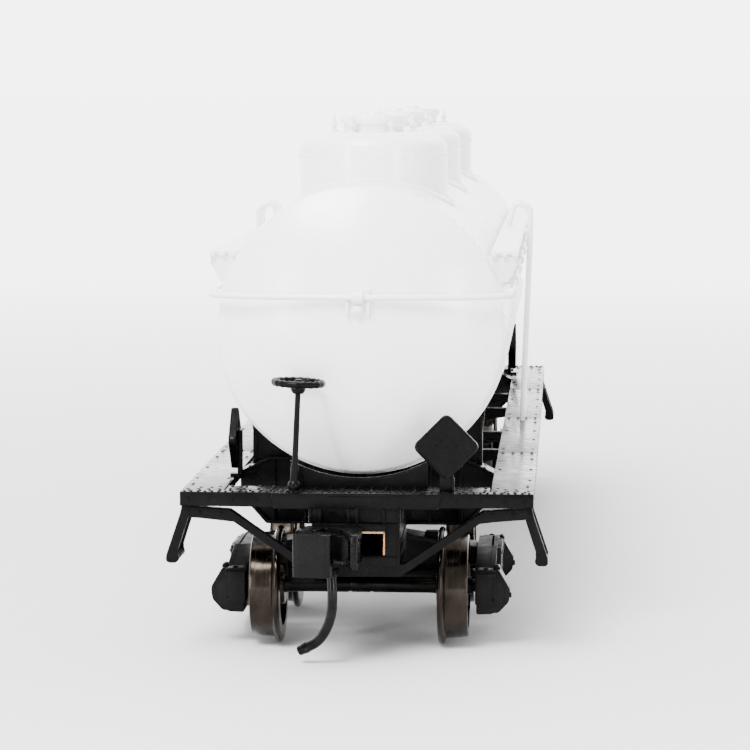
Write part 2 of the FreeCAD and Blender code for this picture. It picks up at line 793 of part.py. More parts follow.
def make_brake_gear():
    """Cylinder, reservoir, valve and rods that hang under the middle of the frame."""
    low = "sill_bottom - 2"
    cylinder = rod("cylinder_body", "X", "1.7", ("8", "0 - 6.4", low + " + 0.6"), "6")
    flange = rod("cylinder_flange", "X", "2", ("13.6", "0 - 6.4", low + " + 0.6"), "0.6")
    lug = block("cylinder_lug", ("8.6", "10.9"), ("0 - 6", "0 - sill_width / 2"),
                ("sill_bottom - 0.6", "13.4"))
    node("brake_cylinder", fuse("brake_cylinder", cylinder, flange, lug))
    tank = rod("reservoir_body", "X", "2.1", ("0 - 10", "6.8", low + " + 0.4"), "9")
    strap = block("reservoir_lug", ("0 - 7", "0 - 4"), ("sill_width / 2", "6.6"),
                  ("sill_bottom - 0.4", "13.4"))
    node("air_reservoir", fuse("air_reservoir", tank, strap))
    valve = block("valve_body", ("3", "5.2"), ("sill_width / 2", "6.2"), ("sill_bottom - 1.6", "sill_bottom + 1.2"))
    cap = rod("valve_cap", "X", "0.9", ("2.2", "5", "sill_bottom - 0.3"), "3.8")
    node("brake_valve", fuse("brake_valve", valve, cap))
    height = number("sill_bottom") - 0.8
    across = 6.4
    front = shaped("rod_front", bent_rod([(14.2, -across, height), (20.0, -across, height),
                                          (24.0, -2.6, height), (34.0, -2.6, height)], 0.22, 1.5))
    link = shaped("rod_link", bent_rod([(-1.0, 6.8, height - 0.4), (0.2, 6.6, height - 0.2),
                                        (1.0, 5.0, height + 0.5), (2.2, 5.0, height + 0.5)], 0.22, 0.6))
    node("brake_rods", group("brake_rods", [front, link]))


def make_placard(name, half_diagonal):
    """A square board standing on its corner, with a raised rim, facing +X."""
    size = half_diagonal
    board = plate(name + "_board", "YZ", [("0 - %s" % size, "0"), ("0", "0 - %s" % size), (size, "0"),
                                          ("0", size)], "0", "0.7")
    inner = "%s - 0.45" % size
    recess = plate(name + "_recess", "YZ", [("0 - (%s)" % inner, "0"), ("0", "0 - (%s)" % inner),
                                            (inner, "0"), ("0", inner)], "0.55", "1")
    return cut(name, board, recess)


def make_end_placard(name):
    board = put(make_placard(name + "_face", "3.1"), "frame_length / 2 - 1.6", "8.1", "19")
    post = block(name + "_post", ("frame_length / 2 - 1.9", "frame_length / 2 - 1.1"), ("7.5", "8.7"),
                 ("board_top", "17.4"))
    return fuse(name, board, post)


def make_side_placard(name):
    """A board beside the tank on a leg that stands on the edge of the platform, facing sideways."""
    face = make_placard(name + "_face", "3.1")
    put(face, "frame_length / 2 - 11.5", "0 - 12.1", "18.5", -90.0)
    post = block(name + "_post", ("frame_length / 2 - 12.1", "frame_length / 2 - 10.9"),
                 ("0 - 13", "0 - 12.2"), ("board_top", "17"))
    return fuse(name, face, post)


def make_placards():
    places = [("0", "0", "0", 0.0), ("0", "0", "0", HALF_TURN)]
    boards = copies("end_placard", make_end_placard, places) + copies("side_placard", make_side_placard, places)
    node("placard_boards", group("placard_boards", boards))


# ---------------------------------------------------------------- trucks

def make_side_frame(name):
    """A cast side frame: an arched top member, a lower tie, two journal boxes and the spring group."""
    axle = "wheelbase / 2"
    points = [
        ("0 - (%s) - 1.9" % axle, "3.9"),
        ("0 - (%s) + 1.9" % axle, "3.9"),
        ("0 - 3.2", "2.2"),
        ("3.2", "2.2"),
        (axle + " - 1.9", "3.9"),
        (axle + " + 1.9", "3.9"),
        (axle + " + 1.9", "side_frame_top - 1.4"),
        ("3.4", "side_frame_top"),
        ("0 - 3.4", "side_frame_top"),
        ("0 - (%s) - 1.9" % axle, "side_frame_top - 1.4"),
    ]
    web = plate(name + "_web", "XZ", points, "frame_inside", "frame_outside")
    parts = []
    windows = []
    for sign, mirror in ((1, ""), (-1, "0 - ")):
        windows.append(plate("%s_window%d" % (name, sign), "XZ", [
            (mirror + "3.2", "3.5"), (mirror + "(%s - 2.3)" % axle, "4.7"),
            (mirror + "(%s - 2.3)" % axle, "6"), (mirror + "3.2", "6.9")][::sign],
            "frame_inside - 1", "frame_outside + 1"))
        box = block("%s_box%d" % (name, sign), ("%s(%s) - 1.6" % (mirror, axle), "%s(%s) + 1.6" % (mirror, axle)),
                    ("frame_outside - 0.3", "13.6"), ("axle_height - 2.4", "axle_height + 1.45"))
        lid = rod("%s_lid%d" % (name, sign), "Y", "1.15",
                  ("%s(%s)" % (mirror, axle), "13.4", "axle_height - 0.5"), "0.4")
        parts += [box, lid]
    column = block(name + "_column", ("0 - 2.9", "2.9"), ("frame_outside - 0.2", "frame_outside + 0.5"),
                   ("6.8", "side_frame_top - 0.2"))
    seat = block(name + "_seat", ("0 - 2.9", "2.9"), ("frame_outside - 0.2", "frame_outside + 0.5"),
                 ("2.4", "3.4"))
    pocket = block(name + "_pocket", ("0 - 2.6", "2.6"), ("frame_outside - 0.7", "frame_outside + 2"),
                   ("3.4", "6.8"))
    springs = []
    for place in ("0 - 1.7", "0", "1.7"):
        springs.append(rod("%s_spring%d" % (name, len(springs)), "Z", "0.72",
                           (place, "frame_outside - 0.3", "3.3"), "3.6"))
    whole = fuse(name + "_whole", cut(name + "_open", web, pocket, *windows), column, seat, *springs, *parts)
    bores = []
    for mirror in ("", "0 - "):
        place = "%s(%s)" % (mirror, axle)
        bores.append(rod("%s_bore%d" % (name, len(bores)), "Y", "0.6 + running_gap",
                         (place, "frame_inside - 1", "axle_height"), "2"))
        cone = solid("Part::Cone", "%s_cup%d" % (name, len(bores)))
        bind(cone, "Radius1", "0.6 + running_gap")
        bind(cone, "Radius2", "0.06 + running_gap / 2")
        bind(cone, "Height", "1.35")
        cone.Placement = FreeCAD.Placement(ORIGIN, AXIS_TURNS["Y"])
        for axis, text in zip("xyz", (place, "frame_inside + 1", "axle_height")):
            bind(cone, "Placement.Base." + axis, text)
        bores.append(cone)
    return cut(name, whole, *bores)


def make_truck_bolster(name):
    """The cross beam of a truck with its raised centre plate and pivot hole."""
    points = [
        ("0 - frame_inside", "6.2"),
        ("0 - 3.4", "5"),
        ("3.4", "5"),
        ("frame_inside", "6.2"),
        ("frame_inside", "side_frame_top - 0.3"),
        ("3.4", "truck_top - 0.5"),
        ("0 - 3.4", "truck_top - 0.5"),
        ("0 - frame_inside", "side_frame_top - 0.3"),
    ]
    beam = plate(name + "_beam", "YZ", points, "0 - 2", "2")
    pad = rod(name + "_pad", "Z", "2.8", ("0", "0", "truck_top - 1"), "1")
    hole = rod(name + "_hole", "Z", "1 + running_gap", ("0", "0", "0"), "20")
    return cut(name, fuse(name + "_whole", beam, pad), hole)


def make_brake_beam(name):
    """A beam across the truck with a shoe in front of each tread."""
    beam = block(name + "_bar", ("2.9", "3.6"), ("0 - frame_inside", "frame_inside"), ("5", "5.8"))
    shoes = []
    for low, high in (("0 - 9.7", "0 - 8.2"), ("8.2", "9.7")):
        shoe = block("%s_shoe%d" % (name, len(shoes)), ("3", "5"), (low, high), ("4", "7.2"))
        tread = rod("%s_tread%d" % (name, len(shoes)), "Y", "tread_radius + 0.25",
                    ("wheelbase / 2", "0 - 12", "axle_height"), "24")
        shoes.append(cut("%s_block%d" % (name, len(shoes)), shoe, tread))
    return fuse(name, beam, *shoes)


def make_axle(name):
    """A needle-point axle, turned about Y."""
    points = [
        ("0 - 12.85", "0"),
        ("0 - 11.55", "0.6"),
        ("0 - 10.3", "0.6"),
        ("0 - 10.3", "axle_radius"),
        ("10.3", "axle_radius"),
        ("10.3", "0.6"),
        ("11.55", "0.6"),
        ("12.85", "0"),
    ]
    return turned(name, "YZ", points, "H")


def make_wheel(name):
    """One wheel on the +Y side: hub, dished plate, rim and flange, turned about Y."""
    inner = "back_to_back / 2"
    outer = inner + " + wheel_width"
    points = [
        (inner + " - 0.2", "axle_radius"),
        (inner + " - 0.2", "1.9"),
        (inner + " + 0.6", "2.1"),
        (inner + " + 0.5", "3.7"),
        (inner, "3.9"),
        (inner, "flange_radius - 0.25", "0.3", -1),
        (inner + " + 0.3", "flange_radius"),
        (inner + " + 0.6", "flange_radius - 0.2"),
        (inner + " + 0.8", "tread_radius + 0.08"),
        (outer, "tread_radius - 0.08"),
        (outer, "4"),
        (outer + " - 0.6", "3.7"),
        (outer + " - 0.9", "2.2"),
        (outer + " - 0.1", "1.9"),
        (outer + " - 0.1", "axle_radius"),
    ]
    return turned(name, "YZ", points, "H")


def make_trucks():
    """Both trucks with their side frames, bolsters, brake beams and wheelsets."""
    for name, sign, angle in (("front", "", 0.0), ("rear", "0 - ", HALF_TURN)):
        centre = sign + "truck_spacing / 2"
        for side, turn in (("right", 0.0), ("left", HALF_TURN)):
            label = "side_frame_%s_%s" % (name, side)
            node(label, put(make_side_frame(label), x=centre, angle=turn))
        label = "truck_bolster_" + name
        node(label, put(make_truck_bolster(label), x=centre, angle=angle))
        label = "brake_beams_" + name
        places = [(centre, "0", "0", 0.0), (centre, "0", "0", HALF_TURN)]
        node(label, group(label, copies(label, make_brake_beam, places)))
        for place, offset in (("outer", "+"), ("inner", "-")):
            label = "%s_%s" % (name, place)
            middle = "%s(truck_spacing / 2 %s wheelbase / 2)" % (sign, offset)
            axle = put(make_axle("axle_" + label), x=middle, z="axle_height")
            node("axle_" + label, axle)
            wheels = copies("wheels_" + label, make_wheel, [(middle, "0", "axle_height", 0.0),
                                                            (middle, "0", "axle_height", HALF_TURN)])
            node("wheels_" + label, group("wheels_" + label, wheels))


# ---------------------------------------------------------------- couplers

COUPLER_REST = -10.0


def make_coupler_head(name):
    """The shank with its pivot ring, and the head with the guard arm. The pivot is at the origin."""
    ring = rod(name + "_ring", "Z", "2", ("0", "0", "coupler_height - 0.75"), "1.5")
    shank = block(name + "_shank", ("0.5", "9.2"), ("0 - 0.9", "0.9"),
                  ("coupler_height - 0.75", "coupler_height + 0.75"))
    head = plate(name + "_head", "XY", [
        ("8.6", "0 - 1.9"), ("10", "0 - 2.5"), ("10.3", "0 - 0.3"), ("11.4", "1.1"), ("13.4", "2.2"),
        ("14.2", "2.6"), ("14.2", "3.1"), ("12.6", "3.1"), ("9.9", "2.5"), ("8.6", "1.7")],
        "coupler_height - 1.5", "coupler_height + 1.6")
    lugs = []
    for low, high in (("coupler_height - 1.5", "coupler_height - 0.9"),
                      ("coupler_height + 1", "coupler_height + 1.6")):
        lugs.append(plate("%s_lug%d" % (name, len(lugs)), "XY", [
            ("9", "0 - 2.6"), ("11.2", "0 - 3"), ("12", "0 - 2.2"), ("11.6", "0 - 1.2"), ("10", "0 - 0.8")],
            low, high))
    hole = rod(name + "_hole", "Z", "1.1 + running_gap", ("0", "0", "0"), "20")
    pin_hole = rod(name + "_pin_hole", "Z", "0.4 + running_gap", ("11", "0 - 2.1", "0"), "20")
    return cut(name, fuse(name + "_whole", ring, shank, head, *lugs), hole, pin_hole)


def make_knuckle(name):
    """The hinged knuckle, its pivot pin and the curved trip pin below it."""
    jaw = plate(name + "_jaw", "XY", [
        ("12.3", "0 - 2.7"), ("14.9", "0 - 2.7"), ("14.9", "0.75"), ("13.7", "0.95"), ("13.3", "0.1"),
        ("12.3", "0 - 0.8")], "coupler_height - 2.25", "coupler_height + 1.6")
    hub = rod(name + "_hub", "Z", "0.85", ("11", "0 - 2.1", "coupler_height - 0.8"), "1.7")
    arm = plate(name + "_arm", "XY", [
        ("11", "0 - 2.9"), ("12.6", "0 - 2.7"), ("12.6", "0 - 1.2"), ("11.2", "0 - 1.3")],
        "coupler_height - 0.8", "coupler_height + 0.9")
    pin = rod(name + "_pin", "Z", "0.4", ("11", "0 - 2.1", "coupler_height - 1.7"), "3.5")
    lip = plate(name + "_lip", "XY", [
        ("11.6", "0 - 1.8"), ("13.4", "0 - 2"), ("13.4", "0.9"), ("11.6", "0.9")],
        "coupler_height - 2.25", "coupler_height - 1.7")
    wire = shaped(name + "_wire", bent_rod([
        (12.4, 0.3, 8.6), (12.6, 0.45, 6.6), (12.5, 0.35, 4.7), (12.1, -0.7, 2.6), (11.5, -2.9, 1.15)], 0.45, 3.0))
    return fuse(name, jaw, hub, arm, pin, lip, wire)


def make_knuckle_spring(name):
    """A small coil that pushes the knuckle shut, shown as its outer cylinder."""
    return rod(name, "X", "0.28", ("8.5", "0 - 2.75", "coupler_height - 0.1"), "1.3")


def make_couplers():
    """Both couplers, swung to the same hand in their boxes."""
    for name, sign, angle in (("front", "", COUPLER_REST), ("rear", "0 - ", COUPLER_REST + HALF_TURN)):
        place = sign + "coupler_pivot"
        node("coupler_" + name, put(make_coupler_head("coupler_" + name), x=place, angle=angle))
        node("knuckle_" + name, put(make_knuckle("knuckle_" + name), x=place, angle=angle))
        label = "knuckle_spring_" + name
        node(label, group(label, [put(make_knuckle_spring(label + "_coil"), x=place, angle=angle)]))


# ---------------------------------------------------------------- assembly

make_barrel()
make_bottom_sheet()
make_heads()
make_domes()
make_dome_fittings()
make_ballast()
make_handrails()
make_stanchions()
make_walkways()
twins("side_ladders", make_ladder)
make_centre_sill()
both_ends("running_board", make_running_board, ("right", "left"))
both_ends("end_sill", make_end_sill)
twins("body_bolsters", make_body_bolster)
make_saddles()
make_cross_bearers()
make_steps()
twins("end_braces", make_end_brace)
both_ends("coupler_box", make_coupler_box)
twins("coupler_box_lids", make_box_lid)
twins("centring_springs", make_centring_spring)
make_screws()
make_brake_stand()
make_brake_gear()
make_placards()
make_trucks()
make_couplers()

doc.recompute()

for item in doc.Objects:
    if "Invalid" in item.State or "Error" in item.State:
        raise RuntimeError("%s failed: %s" % (item.Label, item.State))
for label, item in nodes.items():
    if item.Shape.isNull() or not item.Shape.isValid():
        raise RuntimeError("%s has no valid shape" % label)

os.makedirs("parts", exist_ok=True)
for label, item in nodes.items():
    item.Shape.exportStep("parts/%s.step" % label)
print("%d pieces" % len(nodes))
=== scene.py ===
import json
import math

import bmesh
import bpy
from mathutils import Matrix, Vector


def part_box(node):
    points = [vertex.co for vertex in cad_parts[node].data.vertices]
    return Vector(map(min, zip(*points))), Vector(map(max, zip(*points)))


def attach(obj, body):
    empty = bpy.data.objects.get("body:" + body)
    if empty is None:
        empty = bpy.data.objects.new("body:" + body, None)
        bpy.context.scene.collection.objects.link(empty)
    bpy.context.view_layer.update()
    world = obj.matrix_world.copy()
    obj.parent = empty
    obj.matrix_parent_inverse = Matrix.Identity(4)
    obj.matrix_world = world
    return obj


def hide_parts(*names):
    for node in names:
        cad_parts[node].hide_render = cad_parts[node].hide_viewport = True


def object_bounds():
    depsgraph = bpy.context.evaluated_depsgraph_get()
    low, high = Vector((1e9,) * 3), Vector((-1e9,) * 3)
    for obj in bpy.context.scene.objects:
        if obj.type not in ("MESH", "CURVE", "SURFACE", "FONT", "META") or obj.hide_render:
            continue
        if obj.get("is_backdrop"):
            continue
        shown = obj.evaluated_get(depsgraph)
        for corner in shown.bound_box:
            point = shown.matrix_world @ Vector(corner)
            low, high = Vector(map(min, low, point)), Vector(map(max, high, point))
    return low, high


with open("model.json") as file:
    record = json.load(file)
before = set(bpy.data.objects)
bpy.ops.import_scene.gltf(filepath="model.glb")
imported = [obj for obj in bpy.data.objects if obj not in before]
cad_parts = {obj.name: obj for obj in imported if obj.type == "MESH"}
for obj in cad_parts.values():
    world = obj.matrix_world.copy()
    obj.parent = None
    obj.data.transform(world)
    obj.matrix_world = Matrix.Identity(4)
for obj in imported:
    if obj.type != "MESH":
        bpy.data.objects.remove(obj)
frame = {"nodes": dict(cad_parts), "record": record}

MM = 0.001
NODES = frame["nodes"]


def write_size(key, sizes={}):
    """Keeps the object's box before and after the visual work."""
    low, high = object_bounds()
    sizes[key] = [list(low), list(high)]


write_size("cad")

# ---------------------------------------------------------------- places, from the frame


def box(node):
    """The lowest and highest corner of a CAD node."""
    low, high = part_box(node)
    return Vector(low), Vector(high)


BARREL_LOW, BARREL_HIGH = box("tank_barrel")
TANK_RADIUS = (BARREL_HIGH.z - BARREL_LOW.z) / 2
TANK_Z = (BARREL_HIGH.z + BARREL_LOW.z) / 2
SHEET_LOW, SHEET_HIGH = box("tank_bottom_sheet")
HEAD_HIGH = box("tank_head_front")[1]
BOARD_LOW, BOARD_HIGH = box("running_board_right")
RAIL_LOW, RAIL_HIGH = box("handrails")

# ---------------------------------------------------------------- materials


class Nodes:
    """A material's node tree with short calls for what every finish here needs."""

    def __init__(self, name):
        self.material = bpy.data.materials.new(name)
        self.material.use_nodes = True
        self.tree = self.material.node_tree
        self.tree.nodes.clear()
        self.shader = self.add("ShaderNodeBsdfPrincipled")
        output = self.add("ShaderNodeOutputMaterial")
        self.link(self.shader.outputs["BSDF"], output.inputs["Surface"])
        self.place = self.add("ShaderNodeTexCoord").outputs["Object"]

    def add(self, kind, **settings):
        node = self.tree.nodes.new(kind)
        for key, value in settings.items():
            setattr(node, key, value)
        return node

    def link(self, source, target):
        self.tree.links.new(source, target)

    def noise(self, scale, detail=3.0, roughness=0.5, place=None):
        node = self.add("ShaderNodeTexNoise")
        node.inputs["Scale"].default_value = scale
        node.inputs["Detail"].default_value = detail
        node.inputs["Roughness"].default_value = roughness
        self.link(place or self.place, node.inputs["Vector"])
        return node.outputs["Fac"]

    def spread(self, source, low, high, out_low=0.0, out_high=1.0):
        node = self.add("ShaderNodeMapRange")
        node.inputs["From Min"].default_value = low
        node.inputs["From Max"].default_value = high
        node.inputs["To Min"].default_value = out_low
        node.inputs["To Max"].default_value = out_high
        self.link(source, node.inputs["Value"])
        return node.outputs["Result"]

    def math(self, operation, first, second=None):
        node = self.add("ShaderNodeMath", operation=operation)
        for socket, value in zip(node.inputs, (first, second)):
            if value is None:
                continue
            if isinstance(value, (int, float)):
                socket.default_value = value
            else:
                self.link(value, socket)
        return node.outputs["Value"]

    def mix(self, factor, first, second):
        node = self.add("ShaderNodeMix", data_type="RGBA")
        self.link(factor, node.inputs["Factor"])
        for socket, value in ((node.inputs[6], first), (node.inputs[7], second)):
            if isinstance(value, tuple):
                socket.default_value = value + (1.0,)
            else:
                self.link(value, socket)
        return node.outputs[2]

    def facing_up(self):
        """1 where the surface faces up, 0 where it is upright or faces down."""
        geometry = self.add("ShaderNodeNewGeometry")
        split = self.add("ShaderNodeSeparateXYZ")
        self.link(geometry.outputs["Normal"], split.inputs["Vector"])
        return self.spread(split.outputs["Z"], 0.3, 1.0)

    def bump(self, height, distance, strength=1.0, under=None):
        node = self.add("ShaderNodeBump")
        node.inputs["Strength"].default_value = strength
        node.inputs["Distance"].default_value = distance
        self.link(height, node.inputs["Height"])
        if under is not None:
            self.link(under, node.inputs["Normal"])
        return node.outputs["Normal"]

    def finish(self, colour=None, roughness=None, normal=None, **constants):
        for name, value in (("Base Color", colour), ("Roughness", roughness), ("Normal", normal)):
            if value is None:
                continue
            if isinstance(value, (int, float)):
                self.shader.inputs[name].default_value = value
            elif isinstance(value, tuple):
                self.shader.inputs[name].default_value = value + (1.0,)
            else:
                self.link(value, self.shader.inputs[name])
        for name, value in constants.items():
            self.shader.inputs[name.replace("_", " ")].default_value = value
        return self.material


def white_paint(name, colour, shade, roughness):
    """Sprayed satin white: a faint orange peel, slight clouding and a few dust nibs."""
    n = Nodes(name)
    cloud = n.spread(n.noise(90.0, 2.0), 0.35, 0.7)
    dust = n.spread(n.noise(2600.0, 2.0), 0.70, 0.80)
    clouded = n.mix(cloud, colour, shade)
    dusted = n.mix(n.math("MULTIPLY", dust, 0.35), clouded, (0.72, 0.71, 0.69))
    peel = n.noise(1500.0, 2.0, 0.4)
    grain = n.noise(9000.0, 1.0)
    normal = n.bump(grain, 2e-6, 0.4, n.bump(peel, 6e-6, 0.4))
    rough = n.spread(n.noise(700.0, 3.0), 0.3, 0.7, roughness - 0.05, roughness + 0.08)
    return n.finish(dusted, rough, normal, Coat_Weight=0.25, Coat_Roughness=0.15)


def black_plastic(name, colour, worn, roughness, dust_amount, gloss=0.2, grain_depth=1.0):
    """Moulded black plastic: fine grain, dust that lies on the tops and paler rubbed patches."""
    n = Nodes(name)
    patches = n.spread(n.noise(260.0, 4.0, 0.6), 0.45, 0.75)
    base = n.mix(patches, colour, worn)
    specks = n.spread(n.noise(3200.0, 3.0, 0.7), 0.60, 0.74)
    settled = n.math("MULTIPLY", n.math("MULTIPLY", specks, n.facing_up()), dust_amount)
    dusted = n.mix(settled, base, (0.42, 0.41, 0.39))
    grain = n.noise(4200.0, 4.0, 0.6)
    ripple = n.noise(420.0, 2.0)
    normal = n.bump(grain, 8e-6 * grain_depth, 0.6, n.bump(ripple, 2e-5 * grain_depth, 0.35))
    rough = n.spread(n.noise(900.0, 3.0), 0.3, 0.7, roughness - 0.07, roughness + 0.1)
    return n.finish(dusted, rough, normal, Specular_IOR_Level=gloss)


def turned_metal(name, colour, tarnish, centre_x, centre_z, roughness):
    """Lathe-turned metal: rings round the axle and a patchy warm tarnish."""
    n = Nodes(name)
    split = n.add("ShaderNodeSeparateXYZ")
    n.link(n.place, split.inputs["Vector"])
    across = n.math("SUBTRACT", split.outputs["X"], centre_x)
    up = n.math("SUBTRACT", split.outputs["Z"], centre_z)
    radius = n.math("SQRT", n.math("ADD", n.math("POWER", across, 2.0), n.math("POWER", up, 2.0)))
    ring_place = n.add("ShaderNodeCombineXYZ")
    n.link(n.math("MULTIPLY", radius, 60.0), ring_place.inputs["X"])
    n.link(n.math("MULTIPLY", split.outputs["Y"], 60.0), ring_place.inputs["Y"])
    rings = n.noise(180.0, 3.0, 0.6, ring_place.outputs["Vector"])
    fine = n.noise(520.0, 2.0, 0.5, ring_place.outputs["Vector"])
    blotch = n.spread(n.noise(420.0, 4.0, 0.6), 0.35, 0.7)
    base = n.mix(blotch, colour, tarnish)
    rough = n.spread(rings, 0.3, 0.7, roughness - 0.08, roughness + 0.14)
    normal = n.bump(fine, 3e-6, 0.5, n.bump(rings, 8e-6, 0.6))
    return n.finish(base, rough, normal, Metallic=1.0, Anisotropic=0.5)


def plain_metal(name, colour, stain, roughness):
    """Wire and strip metal: drawn grain, slight staining."""
    n = Nodes(name)
    stains = n.spread(n.noise(900.0, 4.0, 0.6), 0.4, 0.7)
    base = n.mix(stains, colour, stain)
    rough = n.spread(n.noise(2500.0, 3.0), 0.3, 0.7, roughness - 0.06, roughness + 0.12)
    normal = n.bump(n.noise(6000.0, 3.0), 4e-6, 0.6)
    return n.finish(base, rough, normal, Metallic=1.0)


TANK_WHITE = white_paint("tank_white", (0.90, 0.895, 0.90), (0.86, 0.85, 0.87), 0.26)
TRIM_WHITE = white_paint("trim_white", (0.88, 0.875, 0.87), (0.84, 0.83, 0.83), 0.34)
FRAME_BLACK = black_plastic("frame_black", (0.0010, 0.0010, 0.0011), (0.0026, 0.0026, 0.0028), 0.28, 0.008,
                            0.07)
BOARD_BLACK = black_plastic("board_black", (0.0016, 0.0016, 0.0017), (0.004, 0.004, 0.0043), 0.24, 0.02,
                            0.27, 0.4)
TRUCK_BLACK = black_plastic("truck_black", (0.0012, 0.0012, 0.0012), (0.0034, 0.0032, 0.003), 0.34, 0.02,
                            0.09)
COUPLER_BLACK = black_plastic("coupler_black", (0.0014, 0.0014, 0.0015), (0.0036, 0.0035, 0.0034), 0.28,
                              0.02, 0.09)
PIN_STEEL = plain_metal("pin_steel", (0.014, 0.014, 0.015), (0.007, 0.007, 0.007), 0.16)
BRONZE = plain_metal("bronze_strip", (0.50, 0.25, 0.11), (0.34, 0.16, 0.07), 0.22)
SCREW_STEEL = plain_metal("screw_steel", (0.12, 0.12, 0.125), (0.06, 0.06, 0.06), 0.26)
BALLAST_STEEL = plain_metal("ballast_steel", (0.1, 0.1, 0.1), (0.06, 0.055, 0.05), 0.5)
BY_SLOT = {
    "tank_white": TANK_WHITE,
    "trim_white": TRIM_WHITE,
    "frame_black": FRAME_BLACK,
    "board_black": BOARD_BLACK,
    "truck_black": TRUCK_BLACK,
    "coupler_black": COUPLER_BLACK,
    "spring_bronze": BRONZE,
    "screw_steel": SCREW_STEEL,
    "ballast_steel": BALLAST_STEEL,
}


def wheel_materials(label):
    """The turned metal of one wheelset, with its rings centred on its own axle."""
    low, high = box("axle_" + label)
    x = (low.x + high.x) / 2
    z = (low.z + high.z) / 2
    wheel = turned_metal("wheel_metal_" + label, (0.030, 0.0245, 0.020), (0.012, 0.009, 0.007), x, z, 0.2)
    axle = turned_metal("axle_metal_" + label, (0.008, 0.008, 0.008), (0.005, 0.0046, 0.0042), x, z, 0.34)
    return wheel, axle


def dress_cad_nodes():
    """Gives every node that stays its finish, welded and softly bevelled edges and even shading."""
    for part in frame["record"]["subparts"]:
        if part["node"] in REPLACED:
            continue
        node = NODES[part["node"]]
        node.data.materials.clear()
        node.data.materials.append(BY_SLOT[part["material_slot"]])
        weld = node.modifiers.new("weld", "WELD")
        weld.merge_threshold = 0.002 * MM
        bevel = node.modifiers.new("bevel", "BEVEL")
        bevel.width = 0.07 * MM
        bevel.segments = 2
        bevel.limit_method = "ANGLE"
        bevel.angle_limit = math.radians(35)
        even = node.modifiers.new("even", "WEIGHTED_NORMAL")
        even.keep_sharp = False


# ---------------------------------------------------------------- mesh tools

REPLACED = set()
HALF_TURN = Matrix.Rotation(math.pi, 3, "Z")


def finish_piece(name, shape, slot, replaced=(), body="wagon_body", sharp=32.0, finish=None):
    """Turns a bmesh into a shaded piece that rides on its body and stands for its CAD nodes."""
    bmesh.ops.remove_doubles(shape, verts=shape.verts, dist=0.0005 * MM)
    bmesh.ops.recalc_face_normals(shape, faces=shape.faces)
    mesh = bpy.data.meshes.new(name)
    shape.to_mesh(mesh)
    shape.free()
    mesh.materials.append(finish or BY_SLOT[slot])
    for face in mesh.polygons:
        face.use_smooth = True
    mesh.set_sharp_from_angle(angle=math.radians(sharp))
    piece = bpy.data.objects.new(name, mesh)
    bpy.context.scene.collection.objects.link(piece)
    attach(piece, body)
    if replaced:
        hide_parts(*replaced)
        REPLACED.update(replaced)
    return piece


def frame_of(axis):
    """Two directions square to an axis, so that across x up = axis."""
    axis = Vector(axis).normalized()
    across = axis.cross(Vector((0, 0, 1)))
    if across.length < 1e-6:
        across = Vector((1, 0, 0))
    across.normalize()
    return axis, across, axis.cross(across)


def skin(shape, rows, ring=False, loop=False):
    """Faces between rows of vertices. A ring closes each row, a loop joins the last row to the first."""
    for row, other in zip(rows, rows[1:] + rows[:1] if loop else rows[1:]):
        count = len(row)
        for index in range(count if ring else count - 1):
            after = (index + 1) % count
            shape.faces.new((row[index], row[after], other[after], other[index]))


def circle(shape, centre, across, up, radius, sides):
    """A ring of vertices round a centre."""
    turns = [2 * math.pi * side / sides for side in range(sides)]
    return [shape.verts.new(centre + (across * math.cos(turn) + up * math.sin(turn)) * radius)
            for turn in turns]


def spin(shape, profile, centre, axis, steps=96, start=0.0, turn=2 * math.pi):
    """Revolves (along, radius) points about an axis; a part turn leaves the sides open."""
    axis, across, up = frame_of(axis)
    centre = Vector(centre)
    closed = abs(turn - 2 * math.pi) < 1e-6
    rings = []
    for step in range(steps if closed else steps + 1):
        angle = start + turn * step / steps
        outward = across * math.cos(angle) + up * math.sin(angle)
        rings.append([shape.verts.new(centre + axis * along + outward * radius) for along,
                      radius in profile])
    skin(shape, rings, loop=closed)


def arc(centre, radius, first, last, steps):
    """Points of an arc in profile space, angles in degrees."""
    points = []
    for step in range(steps + 1):
        angle = math.radians(first + (last - first) * step / steps)
        points.append((centre[0] + radius * math.cos(angle), centre[1] + radius * math.sin(angle)))
    return points


def rounded_box(shape, low, high, radius=0.08 * MM, segments=2):
    """A box with all its edges rounded."""
    made = bmesh.ops.create_cube(shape, size=1.0)["verts"]
    low, high = Vector(low), Vector(high)
    for vert in made:
        vert.co = Vector((low[i] + (vert.co[i] + 0.5) * (high[i] - low[i]) for i in range(3)))
    edges = list({edge for vert in made for edge in vert.link_edges})
    bmesh.ops.bevel(shape, geom=edges, offset=radius, segments=segments, profile=0.6, affect="EDGES",
                    clamp_overlap=True)


def prism(shape, outline, axis, low, high, radius=0.08 * MM, segments=2):
    """A plate with a given outline, square to X, Y or Z, with rounded edges."""
    order = {"X": (1, 2, 0), "Y": (0, 2, 1), "Z": (0, 1, 2)}[axis]
    ends = []
    for along in (low, high):
        ring = []
        for across, up in outline:
            place = [0.0, 0.0, 0.0]
            place[order[0]], place[order[1]], place[order[2]] = across, up, along
            ring.append(shape.verts.new(place))
        ends.append(ring)
    faces = [shape.faces.new(ends[0]), shape.faces.new(list(reversed(ends[1])))]
    count = len(outline)
    for index in range(count):
        after = (index + 1) % count
        faces.append(shape.faces.new((ends[0][after], ends[0][index], ends[1][index], ends[1][after])))
    if radius > 0:
        edges = list({edge for face in faces for edge in face.edges})
        bmesh.ops.bevel(shape, geom=edges, offset=radius, segments=segments, profile=0.6, affect="EDGES",
                        clamp_overlap=True)


